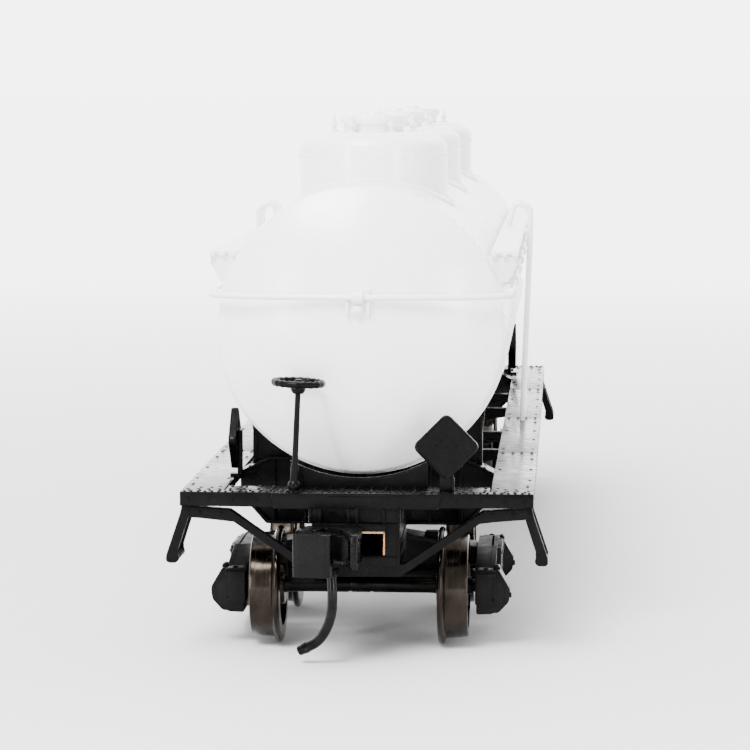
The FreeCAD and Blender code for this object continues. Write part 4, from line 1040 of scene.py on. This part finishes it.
STAFF_FOOT = Vector((FRONT - 0.7 * MM, -5.7 * MM, DECK))
STAFF_LEAN = Matrix.Rotation(math.radians(-2.6), 3, "X")


def lean(shape):
    """Tilts a piece built upright at the origin and sets it on the foot of the staff."""
    bmesh.ops.rotate(shape, verts=shape.verts, cent=(0, 0, 0), matrix=STAFF_LEAN)
    bmesh.ops.translate(shape, verts=shape.verts, vec=STAFF_FOOT)


def brake_staff(shape):
    """The staff: a round foot on a bolted pad, a tapered lower sleeve and the thin shaft."""
    profile = [(-0.02, 0.72), (0.14, 0.7), (0.2, 0.5), (0.42, 0.56), (0.62, 0.58), (0.85, 0.5), (1.0, 0.38),
               (1.9, 0.37), (2.3, 0.34), (2.55, 0.27), (5.5, 0.27), (8.9, 0.25), (9.2, 0.3), (9.6, 0.3)]
    spin(shape, [(along * MM, radius * MM) for along, radius in profile], (0, 0, 0), (0, 0, 1), 24)
    lean(shape)
    for step in range(4):
        angle = math.radians(45 + 90 * step)
        place = STAFF_FOOT + Vector((math.cos(angle) * 0.62, math.sin(angle) * 0.85, 0)) * MM
        if place.x < FRONT - 0.1 * MM:
            bolts(shape, [place], (0, 0, 1), 0.22 * MM, 0.16 * MM)


def brake_wheel(shape):
    """The hand wheel: a rim with finger waves under it, a hub and five curved spokes."""
    ring = []
    for step in range(80):
        angle = 2 * math.pi * step / 80
        ring.append(Vector((2.15 * math.cos(angle), 2.15 * math.sin(angle), 9.9)) * MM)
    waves = [(0.31 + 0.03 * math.cos(2 * math.pi * step / 80 * 20)) * MM for step in range(80)]
    tube(shape, ring, waves, 14, True)
    for step in range(5):
        angle = math.radians(72 * step + 18)
        line = [Vector((reach * math.cos(angle + 0.12 * math.sin(reach * 1.4)),
                        reach * math.sin(angle + 0.12 * math.sin(reach * 1.4)), 9.86 + dip)) * MM
                for reach, dip in ((0.35, 0.02), (0.9, -0.1), (1.5, -0.1), (2.05, 0.02))]
        tube(shape, smooth_path(line, 3), 0.15 * MM, 8)
    profile = [(8.85, 0.28), (8.95, 0.5), (9.2, 0.66), (9.7, 0.7), (9.9, 0.62), (10.0, 0.42), (10.14, 0.3),
               (10.2, 0.3),
               (10.24, 0.001)]
    spin(shape, [(along * MM, radius * MM) for along, radius in profile], (0, 0, 0), (0, 0, 1), 24)
    lean(shape)


def rounded_square(reach, corner, steps=5):
    """A square standing on one corner, with its corners rounded, as (across, up) points."""
    points = []
    side = reach - corner * (math.sqrt(2) - 1)
    centre = side - corner
    for quarter in range(4):
        middle = math.radians(90 * quarter)
        for step in range(steps + 1):
            angle = middle + math.radians(-45 + 90 * step / steps)
            points.append((centre * math.cos(middle) + corner * math.cos(angle),
                           centre * math.sin(middle) + corner * math.sin(angle)))
    return points


def placard(shape, centre, axis, front):
    """A board with a thin raised rim and small fixing dots, facing along X or sideways."""
    across, up = centre
    face = 1 if front[1] > front[0] else -1
    surface = front[1] - face * 0.14 * MM

    def on_board(a, b):
        first, last = across + a * MM, up + b * MM
        return Vector((surface, first, last) if axis == "X" else (first, surface, last))

    outline = [(across + a * MM, up + b * MM) for a, b in rounded_square(3.1, 0.55)]
    prism(shape, outline, axis, front[0], surface, 0.05 * MM, 1)
    tube(shape, [on_board(a, b) for a, b in rounded_square(2.98, 0.55, 6)], 0.11 * MM, 8, True)
    dots = [(0.0, 0.0), (-0.9, 0.1), (0.9, 0.1), (-0.45, 0.55), (0.45, 0.55), (0.0, 1.0), (-2.3, 0.0),
            (2.3, 0.0),
            (0.0, 2.3), (0.0, -2.3)]
    normal = (face, 0, 0) if axis == "X" else (0, face, 0)
    bolts(shape, [on_board(a, b) for a, b in dots], normal, 0.11 * MM, 0.06 * MM)


def placards(shape):
    """The boards on the end sill and on the side, each on its bracket, and their twins."""
    x = FRONT - 1.6 * MM
    placard(shape, (8.1 * MM, 19.0 * MM), "X", (x, x + 0.7 * MM))
    rounded_box(shape, (FRONT - 1.9 * MM, 7.5 * MM, DECK - 0.02 * MM),
                (FRONT - 1.15 * MM, 8.75 * MM, 17.4 * MM),
                0.08 * MM)
    rounded_box(shape, (FRONT - 1.7 * MM, 8.62 * MM, DECK), (FRONT - 0.75 * MM, 8.84 * MM, 16.2 * MM),
                0.06 * MM)
    side_x = FRONT - 11.5 * MM
    placard(shape, (side_x, 18.5 * MM), "Y", (-11.85 * MM, -12.55 * MM))
    rounded_box(shape, (side_x - 0.6 * MM, -11.9 * MM, DECK - 0.02 * MM),
                (side_x + 0.6 * MM, -11.5 * MM, 19.3 * MM),
                0.08 * MM)
    rounded_box(shape, (side_x - 0.6 * MM, -12.6 * MM, DECK - 0.02 * MM),
                (side_x + 0.6 * MM, -11.5 * MM, 15.2 * MM),
                0.08 * MM)
    with_twin(shape)


def cross_bearers(shape):
    """Tapered brackets with a flange along the bottom, from the centre sill to the running boards."""
    reach = BOARD_IN / MM
    for place in (-28, -12, 12, 28):
        points = lifted([(3.6, 14.8), (3.6, 12.5), (reach, 13.8), (reach, 14.8)])
        prism(shape, points, "X", (place - 0.3) * MM, (place + 0.3) * MM, 0.05 * MM, 1)
        for low, high in (((12.5, 12.75), (13.8, 14.05)), ((14.6, 14.8), (14.6, 14.8))):
            flange = lifted([(3.6, low[0]), (reach, high[0]), (reach, high[1]), (3.6, low[1])])
            prism(shape, flange, "X", (place - 0.6) * MM, (place + 0.6) * MM, 0.05 * MM, 1)
    with_twin(shape)


def walkways(shape):
    """Narrow walkways of short cross slats on lengthwise bars, high on the tank's sides."""
    low, high = box("side_walkways")
    inner = high.y - 2.5 * MM
    for edge in (inner + 0.02 * MM, inner + 1.0 * MM, high.y - 0.52 * MM):
        rounded_box(shape, (low.x, edge, low.z), (high.x, edge + 0.5 * MM, high.z - 0.2 * MM), 0.06 * MM)
    count = 46
    pitch = (high.x - low.x) / count
    for step in range(count):
        x = low.x + pitch * (step + 0.5)
        rounded_box(shape, (x - 0.42 * pitch, inner, high.z - 0.3 * MM), (x + 0.42 * pitch, high.y, high.z),
                    0.07 * MM)
        bolts(shape, [Vector((x, across, high.z)) for across in (inner + 0.27 * MM, high.y - 0.27 * MM)],
              (0, 0, 1),
              0.13 * MM, 0.05 * MM)
    with_twin(shape)


def brackets(shape):
    """The triangular gussets under the walkways, each a web with a flange along its sloping edge."""
    high = box("walkway_brackets")[1]
    tip = box("side_walkways")[1].y / MM
    inner = tip - 2.5
    top = high.z / MM
    for step in (-2, -1, 0, 1, 2):
        x = step * (high.x - 0.35 * MM) / 2
        start = math.sqrt((TANK_RADIUS / MM) ** 2 - (top - TANK_Z / MM) ** 2)
        foot = math.sqrt((TANK_RADIUS / MM) ** 2 - (top - 2.4 - TANK_Z / MM) ** 2)
        web = lifted([(start - 0.1, top), (foot - 0.1, top - 2.4), (inner + 1.5, top - 2.4),
                      (tip, top - 0.6), (tip, top)])
        prism(shape, web, "X", x - 0.22 * MM, x + 0.22 * MM, 0.05 * MM)
        edge = lifted([(foot, top - 2.4), (inner + 1.55, top - 2.4), (tip, top - 0.65), (tip, top - 0.4),
                       (inner + 1.45, top - 2.15), (foot - 0.05, top - 2.15)])
        prism(shape, edge, "X", x - 0.35 * MM, x + 0.35 * MM, 0.05 * MM)
    with_twin(shape)


def stanchions(shape):
    """Turned posts with a foot on the tank and a ball round the rail, and a bolted bracket on each head."""
    height = (RAIL_HIGH.z + RAIL_LOW.z) / 2
    across = RAIL_HIGH.y - (RAIL_HIGH.z - RAIL_LOW.z) / 2
    surface = math.sqrt(TANK_RADIUS ** 2 - (height - TANK_Z) ** 2)
    profile = lifted([(-0.3, 0.6), (0.12, 0.6), (0.22, 0.34), (0.4, 0.3)])
    profile += arc((across - surface, 0.0), 0.53 * MM, 145, 2, 8)
    for step in range(-3, 4):
        spin(shape, profile, (18.1 * step * MM, surface, height), (0, 1, 0), 20)
    head = Vector((HEAD_HIGH.x, 0.0, height))
    rounded_box(shape, head + at(-0.5, -1.15, -1.7), head + at(0.12, 1.15, 0.8), 0.1 * MM)
    spin(shape, lifted([(-0.55, 0.1), (-0.55, 0.5), (-0.45, 0.6), (0.45, 0.6),
                 (0.55, 0.5), (0.55, 0.1)]), head + at(0.42, 0, 0), (0, 1, 0), 28)
    spin(shape, lifted([(0.0, 0.52), (0.4, 0.5), (0.55, 0.34), (0.62, 0.001)]),
         head + at(0.08, 0, -1.15), (1, 0, 0), 24)
    for side in (-1, 1):
        low, high = sorted((side * 0.85, side * 1.08))
        rounded_box(shape, head + at(0, low, -1.6), head + at(0.5, high, -0.35), 0.06 * MM)
        hex_nut(shape, head + at(0.1, side * 0.75, 0.42), (1, 0, 0), 0.28 * MM, 0.26 * MM)
    with_twin(shape)


whole_pieces((
    (brake_staff, "staff", "brake_staff", "frame_black"),
    (brake_wheel, "hand_wheel", "brake_wheel", "frame_black"),
    (placards, "placard_plates", "placard_boards", "frame_black"),
    (cross_bearers, "bearer_castings", "cross_bearers", "frame_black"),
    (walkways, "walkway_slats", "side_walkways", "trim_white"),
    (brackets, "walkway_gussets", "walkway_brackets", "trim_white"),
    (stanchions, "rail_posts", "handrail_stanchions", "trim_white"),
))


# ---------------------------------------------------------------- couplers

PIVOT = {joint["name"]: joint
         for joint in frame["record"]["behaviour"]["joints"]}["coupler_swing_front"]["pos_m"]
COUPLER_REST = Matrix.Rotation(math.radians(-10), 3, "Z")


def coupler_head(shape):
    """Shank, pivot ring and head: two outlined plates over a narrower core, lugs for the knuckle pin."""
    spin(shape,
         [(9.76, 1.2), (9.76, 1.95), (9.82, 2.0), (11.18, 2.0), (11.24, 1.95), (11.24, 1.2), (9.76, 1.2)],
         (0, 0, 0), (0, 0, 1), 40)
    rounded_box(shape, (1.4, -0.88, 9.77), (9.2, 0.88, 11.23), 0.12)
    rounded_box(shape, (2.6, -0.5, 11.1), (8.4, 0.5, 11.3), 0.08)
    outline = round_corners([(8.6, -1.9), (10.0, -2.5), (10.3, -0.3), (11.4, 1.1), (13.4, 2.2), (14.2, 2.55),
                             (14.2, 3.1), (12.6, 3.1), (9.9, 2.5), (8.6, 1.7)], 0.3, 3)
    prism(shape, outline, "Z", 11.5, 12.08, 0.08)
    prism(shape, outline, "Z", 9.02, 9.6, 0.08)
    core = round_corners([(8.7, -1.6), (9.8, -2.0), (9.9, -0.2), (11.0, 1.35), (13.2, 2.55), (14.05, 2.75),
                          (14.05, 3.0), (12.6, 2.95), (10.0, 2.4), (8.7, 1.6)], 0.2, 2)
    prism(shape, core, "Z", 9.3, 11.8, 0.05, 1)
    rounded_box(shape, (13.75, 2.45, 9.15), (14.2, 3.08, 11.95), 0.12)
    rounded_box(shape, (13.9, 2.5, 11.0), (14.24, 3.0, 11.62), 0.08)
    for low, high in ((9.0, 9.62), (11.48, 12.1)):
        lug = round_corners([(9.0, -2.6), (11.2, -3.0), (12.0, -2.2), (11.6, -1.2), (10.0, -0.8)], 0.5)
        prism(shape, lug, "Z", low, high, 0.07)
    for place in ((11.0, 0.2), (12.0, 0.9)):
        rounded_box(shape, (place[0] - 0.15, place[1] - 0.15, 9.4), (place[0] + 0.15, place[1] + 0.9, 11.7),
                    0.05)


def knuckle(shape):
    """The knuckle: a rounded block with a nose, a hub between the lugs and its pivot pin."""
    jaw = round_corners([(12.3, -2.7), (14.9, -2.7), (14.9, 0.75), (13.7, 0.95), (13.3, 0.1), (12.3, -0.8)],
                        0.5, 5)
    prism(shape, jaw, "Z", 8.27, 12.08, 0.14, 3)
    spin(shape, [(9.72, 0.001), (9.72, 0.8), (9.78, 0.85), (11.22, 0.85), (11.28, 0.8), (11.28, 0.001)],
         (11.0, -2.1, 0), (0, 0, 1), 28)
    spin(shape, [(8.8, 0.001), (8.8, 0.3), (8.9, 0.4), (12.16, 0.4), (12.24, 0.3), (12.26, 0.001)],
         (11.0, -2.1, 0), (0, 0, 1), 20)
    rounded_box(shape, (11.2, -2.7, 9.75), (12.7, -1.3, 11.3), 0.12)
    rounded_box(shape, (11.65, -1.75, 8.27), (13.4, 0.88, 8.78), 0.12)
    spin(shape, [(8.05, 0.001), (8.05, 0.5), (8.15, 0.6), (8.4, 0.62)], (12.4, 0.3, 0), (0, 0, 1), 24)


def trip_pin(shape):
    """The steel wire under the knuckle, curved to one side like an air hose."""
    line = smooth_path([(12.4, 0.3, 8.7), (12.5, 0.38, 7.6), (12.6, 0.45, 6.4), (12.5, 0.35, 4.9),
                        (12.3, -0.15, 3.4),
                        (11.95, -1.15, 2.05), (11.5, -2.85, 1.1)], 6)
    tube(shape, line, 0.45, 20)
    spin(shape, [(-0.25, 0.45), (-0.2, 0.5), (0.2, 0.5), (0.25, 0.45)], line[-3], line[-1] - line[-4], 20)


def knuckle_spring(shape):
    """A small coil between the head and the knuckle."""
    line = [Vector((8.5 + 1.3 * step / 84, -2.75 + 0.2 * math.cos(step * math.pi / 6),
                    10.4 + 0.2 * math.sin(step * math.pi / 6))) for step in range(85)]
    tube(shape, line, 0.055, 6)


def coupler_pieces():
    """Both couplers, built in millimetres round the pivot and swung to the photographed angle."""
    for end in ("front", "rear"):
        for make, name, node, finish, slot, body in (
            (coupler_head, "coupler_casting_", "coupler_", None, "coupler_black", "coupler_%s_body"),
            (knuckle, "knuckle_casting_", "knuckle_", None, "coupler_black", "knuckle_%s_body"),
            (trip_pin, "trip_pin_", None, PIN_STEEL, "screw_steel", "knuckle_%s_body"),
            (knuckle_spring, "knuckle_coil_", "knuckle_spring_", None, "spring_bronze", "coupler_%s_body"),
        ):
            shape = bmesh.new()
            make(shape)
            bmesh.ops.rotate(shape, verts=shape.verts, cent=(0, 0, 0), matrix=COUPLER_REST)
            bmesh.ops.scale(shape, vec=(MM, MM, MM), verts=shape.verts)
            bmesh.ops.translate(shape, verts=shape.verts, vec=(PIVOT[0], 0, 0))
            if end == "rear":
                turn_half(shape)
            finish_piece(name + end, shape, slot, (node + end,) if node else (), body % end, finish=finish)


coupler_pieces()

# ---------------------------------------------------------------- trucks

AXLE_LOW, AXLE_HIGH = box("axle_front_outer")
AXLE_Z = (AXLE_LOW.z + AXLE_HIGH.z) / 2 / MM
AXLE_X = (AXLE_LOW.x + AXLE_HIGH.x) / 2 / MM - TRUCK_X / MM


def coil_spring(shape, centre, radius, wire, low, high, turns):
    """An upright coil spring."""
    steps = turns * 16
    line = [Vector((centre[0] + radius * math.cos(step * math.pi / 8),
                    centre[1] + radius * math.sin(step * math.pi / 8),
                    low + (high - low) * step / steps)) for step in range(steps + 1)]
    tube(shape, line, wire, 8)


def journal_box(shape, x):
    """A journal box whose lid slopes outwards to a blunt edge, with a hinge boss and a lifting rib."""
    body = round_corners([(10.7, 7.15), (12.5, 7.1), (13.3, 5.5), (13.2, 4.0), (12.3, 3.05), (10.7, 2.96)],
                         0.3, 3)
    prism(shape, body, "X", x - 1.6, x + 1.6, 0.14)
    lid = round_corners([(12.3, 7.12), (12.8, 7.1), (13.84, 5.3), (13.72, 4.15), (12.75, 3.12),
                         (12.3, 3.08)], 0.25, 3)
    prism(shape, lid, "X", x - 1.35, x + 1.35, 0.12)
    spin(shape,
         [(x - 0.6, 0.001), (x - 0.6, 0.25), (x - 0.5, 0.3), (x + 0.5, 0.3), (x + 0.6, 0.25),
          (x + 0.6, 0.001)],
         (0, 12.62, 7.1), (1, 0, 0), 16)
    rounded_box(shape, (x - 0.22, 13.5, 4.35), (x + 0.22, 13.95, 4.85), 0.1)
    bolts(shape, [(x + along, 11.6, 7.12) for along in (-1.15, 1.15)], (0, 0, 1), 0.3, 0.2)


def side_frame(shape):
    """A cast side frame built of its chords, columns, pedestals and raised rims, with three coil springs."""
    end = AXLE_X + 1.9
    tip = end - 0.06
    top = [(-tip, 6.84), (-3.4, 8.2), (3.4, 8.2), (tip, 6.84)]
    under = [(tip, 5.94), (7.2, 6.1), (3.3, 7.0), (-3.3, 7.0), (-7.2, 6.1), (-tip, 5.94)]
    low = [(-tip, 4.64), (-7.2, 4.75), (-3.3, 3.5), (3.3, 3.5), (7.2, 4.75), (tip, 4.64)]
    tie = [(tip, 3.96), (7.7, 3.96), (3.2, 2.2), (-3.2, 2.2), (-7.7, 3.96), (-tip, 3.96)]
    prism(shape, top + under, "Y", 10.6, 12.1, 0.1)
    prism(shape, low + tie, "Y", 10.6, 12.1, 0.1)
    for line, shift in ((top, -0.42), (list(reversed(tie)), 0.42)):
        prism(shape, line + [(x, z + shift) for x, z in reversed(line)], "Y", 11.9, 12.45, 0.08)
    for line in (under, low):
        band = line[1:5] + [(x, z + (0.22 if line is under else -0.22)) for x, z in reversed(line[1:5])]
        prism(shape, band, "Y", 11.9, 12.3, 0.05, 1)
    for side in (-1, 1):
        rounded_box(shape, (min(side * (AXLE_X - 1.9), side * end), 10.6, 3.9),
                    (max(side * (AXLE_X - 1.9), side * end),
                    12.15, 6.8), 0.1)
        rounded_box(shape, (min(side * 2.55, side * 3.35), 10.6, 2.4),
                    (max(side * 2.55, side * 3.35), 12.85, 8.0), 0.1)
        journal_box(shape, side * AXLE_X)
        bolts(shape, [(side * 2.95, 12.85, z) for z in (3.0, 7.5)], (0, 1, 0), 0.22, 0.15)
        bolts(shape, [(side * x, 12.1, z) for x, z in ((5.0, 7.25), (6.4, 6.85), (5.0, 3.4))], (0, 1, 0),
              0.18, 0.12)
    rounded_box(shape, (-2.7, 10.6, 2.2), (2.7, 12.9, 3.35), 0.12)
    rounded_box(shape, (-2.5, 10.7, 3.3), (2.5, 11.45, 7.0), 0.05)
    rounded_box(shape, (-2.45, 10.7, 6.75), (2.45, 12.9, 8.0), 0.14)
    bolts(shape, [(x, 12.9, 7.45) for x in (-1.5, 0.0, 1.5)], (0, 1, 0), 0.2, 0.12)
    for x in (-1.7, 0.0, 1.7):
        coil_spring(shape, (x, 12.12), 0.55, 0.17, 3.4, 6.8, 5)


def brake_beams(shape):
    """Both brake beams of a truck with a trussed back and curved shoes."""
    for turn in (0, 1):
        part = bmesh.new()
        rounded_box(part, (2.9, -10.4, 5.0), (3.6, 10.4, 5.8), 0.12)
        rounded_box(part, (2.95, -0.5, 5.0), (4.4, 0.5, 5.75), 0.12)
        for side in (-1, 1):
            rows = []
            for step in range(9):
                angle = math.radians(156 + 48 * step / 8)
                rows.append((AXLE_X + 5.06 * math.cos(angle), AXLE_Z + 5.06 * math.sin(angle)))
            back = [(x - 0.55, z) for x, z in reversed(rows)]
            low, high = sorted((side * 8.25, side * 9.65))
            prism(part, rows + back, "Y", low, high, 0.06, 1)
            rounded_box(part, (3.3, low + 0.3, 4.9), (4.6, high - 0.3, 5.95), 0.1)
        if turn:
            turn_half(part)
        made = bpy.data.meshes.new("beam")
        part.to_mesh(made)
        part.free()
        shape.from_mesh(made)
        bpy.data.meshes.remove(made)


def truck_bolster(shape):
    """The cross beam of a truck: tapered, with raised ribs, a centre plate and side bearings."""
    points = [(-10.5, 6.2), (-3.4, 5.0), (3.4, 5.0), (10.5, 6.2), (10.5, 7.9), (3.4, 9.1), (-3.4, 9.1),
              (-10.5, 7.9)]
    prism(shape, points, "X", -1.9, 1.9, 0.12)
    for side in (-1.95, 1.75):
        band = [(-10.4, 7.5), (-3.4, 8.7), (3.4, 8.7), (10.4, 7.5), (10.4, 7.85), (3.4, 9.08), (-3.4, 9.08),
                (-10.4, 7.85)]
        prism(shape, band, "X", side, side + 0.2, 0.05, 1)
    spin(shape, [(9.0, 2.7), (9.55, 2.7), (9.6, 2.65), (9.6, 1.15), (8.6, 1.12)], (0, 0, 0), (0, 0, 1), 40)
    for side in (-1, 1):
        rounded_box(shape, (-0.9, side * 6.2 - 0.7, 8.2), (0.9, side * 6.2 + 0.7, 9.1), 0.12)


def in_truck(make, name, body, node, x, turn, finish=None, slot="truck_black"):
    """A truck piece built in millimetres round its own middle, then set at its place along the wagon."""
    shape = bmesh.new()
    make(shape)
    bmesh.ops.scale(shape, vec=(MM, MM, MM), verts=shape.verts)
    bmesh.ops.rotate(shape, verts=shape.verts, cent=(0, 0, 0), matrix=Matrix.Rotation(turn, 3, "Z"))
    bmesh.ops.translate(shape, verts=shape.verts, vec=(x, 0, 0))
    finish_piece(name, shape, slot, (node,), body, finish=finish)


def wheels(shape):
    """Both wheels of an axle: hub, dished plate, grooved rim, coned tread and rounded flange."""
    profile = [(7.05, 0.8), (7.02, 1.75), (7.1, 1.88), (7.75, 2.05), (7.82, 2.3), (7.72, 3.5), (7.62, 3.68),
               (7.2, 3.9),
               (7.2, 4.9), (7.22, 5.15), (7.3, 5.32), (7.42, 5.42), (7.55, 5.43), (7.7, 5.36), (7.8, 5.22),
               (7.88, 5.02), (7.96, 4.9), (8.1, 4.87), (8.6, 4.84), (9.3, 4.79), (9.8, 4.74), (9.93, 4.7),
               (10.0, 4.6),
               (10.0, 4.15), (9.97, 4.05), (9.5, 3.75), (9.42, 3.6), (9.2, 2.4), (9.25, 2.1), (9.8, 1.95),
               (9.9, 1.85),
               (9.9, 0.8)]
    for side in (-1, 1):
        spin(shape, [(side * along, radius) for along, radius in profile], (0, 0, AXLE_Z), (0, 1, 0), 128)


def axle(shape):
    """A turned axle: needle points, journals, shoulders and a waisted middle with two grooves."""
    half = [(12.83, 0.001), (12.7, 0.06), (11.6, 0.57), (11.5, 0.59), (10.32, 0.59), (10.28, 0.66),
            (10.25, 0.78),
            (10.2, 0.8), (7.2, 0.8), (6.9, 0.8), (6.8, 0.74), (6.2, 0.72), (1.2, 0.72), (1.1, 0.66),
            (0.9, 0.66),
            (0.8, 0.72)]
    profile = [(-along, radius) for along, radius in half] + list(reversed(half))
    spin(shape, profile, (0, 0, AXLE_Z), (0, 1, 0), 40)


for end, sign in (("front", 1), ("rear", -1)):
    truck = "truck_" + end
    middle = sign * TRUCK_X
    for side, turn in (("right", 0.0), ("left", math.pi)):
        label = "%s_%s" % (end, side)
        in_truck(side_frame, "frame_casting_" + label, truck, "side_frame_" + label, middle, turn)
    in_truck(brake_beams, "beam_castings_" + end, truck, "brake_beams_" + end, middle, 0.0)
    in_truck(truck_bolster, "bolster_beam_" + end, truck, "truck_bolster_" + end, middle, 0.0)
    for place, offset in (("outer", 1), ("inner", -1)):
        label = "%s_%s" % (end, place)
        x = middle + sign * offset * AXLE_X * MM
        wheel_finish, axle_finish = wheel_materials(label)
        in_truck(wheels, "turned_wheels_" + label, "wheelset_" + label, "wheels_" + label, x, 0.0,
                 wheel_finish,
                 "wheel_metal")
        in_truck(axle, "turned_axle_" + label, "wheelset_" + label, "axle_" + label, x, 0.0, axle_finish,
                 "axle_metal")

# ---------------------------------------------------------------- camera, floor and light

CAMERA_PLACE = Vector((336.0, 18.75, 51.6)) * MM
CAMERA_PITCH = math.radians(5.43)
CAMERA_YAW = math.radians(3.57)


def make_camera():
    """A long lens low over the rails, a little to the right of the wagon's centre line."""
    data = bpy.data.cameras.new("camera")
    data.sensor_width = 36.0
    data.lens = 146.9
    data.clip_start = 0.01
    data.clip_end = 50.0
    camera = bpy.data.objects.new("camera", data)
    bpy.context.scene.collection.objects.link(camera)
    camera.location = CAMERA_PLACE
    camera.rotation_euler = (math.radians(90) - CAMERA_PITCH, 0.0, math.radians(90) + CAMERA_YAW)
    bpy.context.scene.camera = camera


FLOOR_WHITE = (0.58, 0.58, 0.58)
# Strength of the floor's painted glow, which is as bright as the surroundings beyond the wagon.
PAINTED_GLOW_STRENGTH = 5.6
# Distances from the wagon's middle, in metres, over which the floor's painted glow fades in.
FADE_FROM, FADE_TO = 0.06, 0.5


def make_floor():
    """A wide pale floor, lit by the lamps near the wagon, that further out turns into painted light: a glow
    as bright as the surroundings, which leaves a darker pool round the wagon.
    """
    mesh = bpy.data.meshes.new("floor")
    shape = bmesh.new()
    bmesh.ops.create_circle(shape, cap_ends=True, segments=96, radius=12.0)
    shape.to_mesh(mesh)
    shape.free()
    floor = bpy.data.objects.new("floor", mesh)
    bpy.context.scene.collection.objects.link(floor)
    n = Nodes("floor_white_with_painted_glow")
    n.finish(FLOOR_WHITE, 0.7)
    # Painted light: the floor glows far from the wagon and stays a plain lit floor close to it, which leaves
    # a darker pool round the wagon.
    painted_glow = n.add("ShaderNodeEmission")
    painted_glow.inputs["Color"].default_value = (1.0, 1.0, 1.0, 1.0)
    painted_glow.inputs["Strength"].default_value = PAINTED_GLOW_STRENGTH
    distance = n.add("ShaderNodeVectorMath", operation="LENGTH")
    n.link(n.place, distance.inputs[0])
    painted_glow_fade = n.spread(distance.outputs["Value"], FADE_FROM, FADE_TO)
    blend = n.add("ShaderNodeMixShader")
    output = [node for node in n.tree.nodes if node.type == "OUTPUT_MATERIAL"][0]
    n.link(painted_glow_fade, blend.inputs["Fac"])
    n.link(n.shader.outputs["BSDF"], blend.inputs[1])
    n.link(painted_glow.outputs["Emission"], blend.inputs[2])
    n.link(blend.outputs["Shader"], output.inputs["Surface"])
    mesh.materials.append(n.material)
    floor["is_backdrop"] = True


def make_light():
    """A white room, brighter beyond the wagon than before it, two broad soft lamps and two upright strips."""
    world = bpy.data.worlds.new("white_room")
    world.use_nodes = True
    tree = world.node_tree
    place = tree.nodes.new("ShaderNodeTexCoord")
    split = tree.nodes.new("ShaderNodeSeparateXYZ")
    level = tree.nodes.new("ShaderNodeMapRange")
    level.interpolation_type = "SMOOTHSTEP"
    for socket, value in (("From Min", -0.95), ("From Max", 0.1), ("To Min", 5.8), ("To Max", 1.1)):
        level.inputs[socket].default_value = value
    tree.links.new(place.outputs["Generated"], split.inputs["Vector"])
    tree.links.new(split.outputs["X"], level.inputs["Value"])
    tree.links.new(level.outputs["Result"], tree.nodes["Background"].inputs["Strength"])
    tree.nodes["Background"].inputs["Color"].default_value = (1.0, 1.0, 1.0, 1.0)
    bpy.context.scene.world = world
    for name, place, width, height, power in (
        ("top_lamp", (0.1, -0.15, 0.8), 0.45, 0.45, 7.0),
        ("front_lamp", (0.55, -0.25, 0.75), 0.4, 0.4, 24.0),
        ("right_strip", (0.60, 0.46, 0.14), 0.07, 0.3, 2.6),
        ("left_strip", (0.62, -0.44, 0.14), 0.07, 0.3, 2.6),
    ):
        data = bpy.data.lights.new(name, "AREA")
        data.shape = "RECTANGLE"
        data.size = width
        data.size_y = height
        data.energy = power
        lamp = bpy.data.objects.new(name, data)
        bpy.context.scene.collection.objects.link(lamp)
        lamp.location = place
        lamp.rotation_euler = (Vector((0.0, 0.0, 0.02)) - Vector(place)).to_track_quat("-Z", "Y").to_euler()


dress_cad_nodes()
make_camera()
make_floor()
make_light()

write_size("visual")
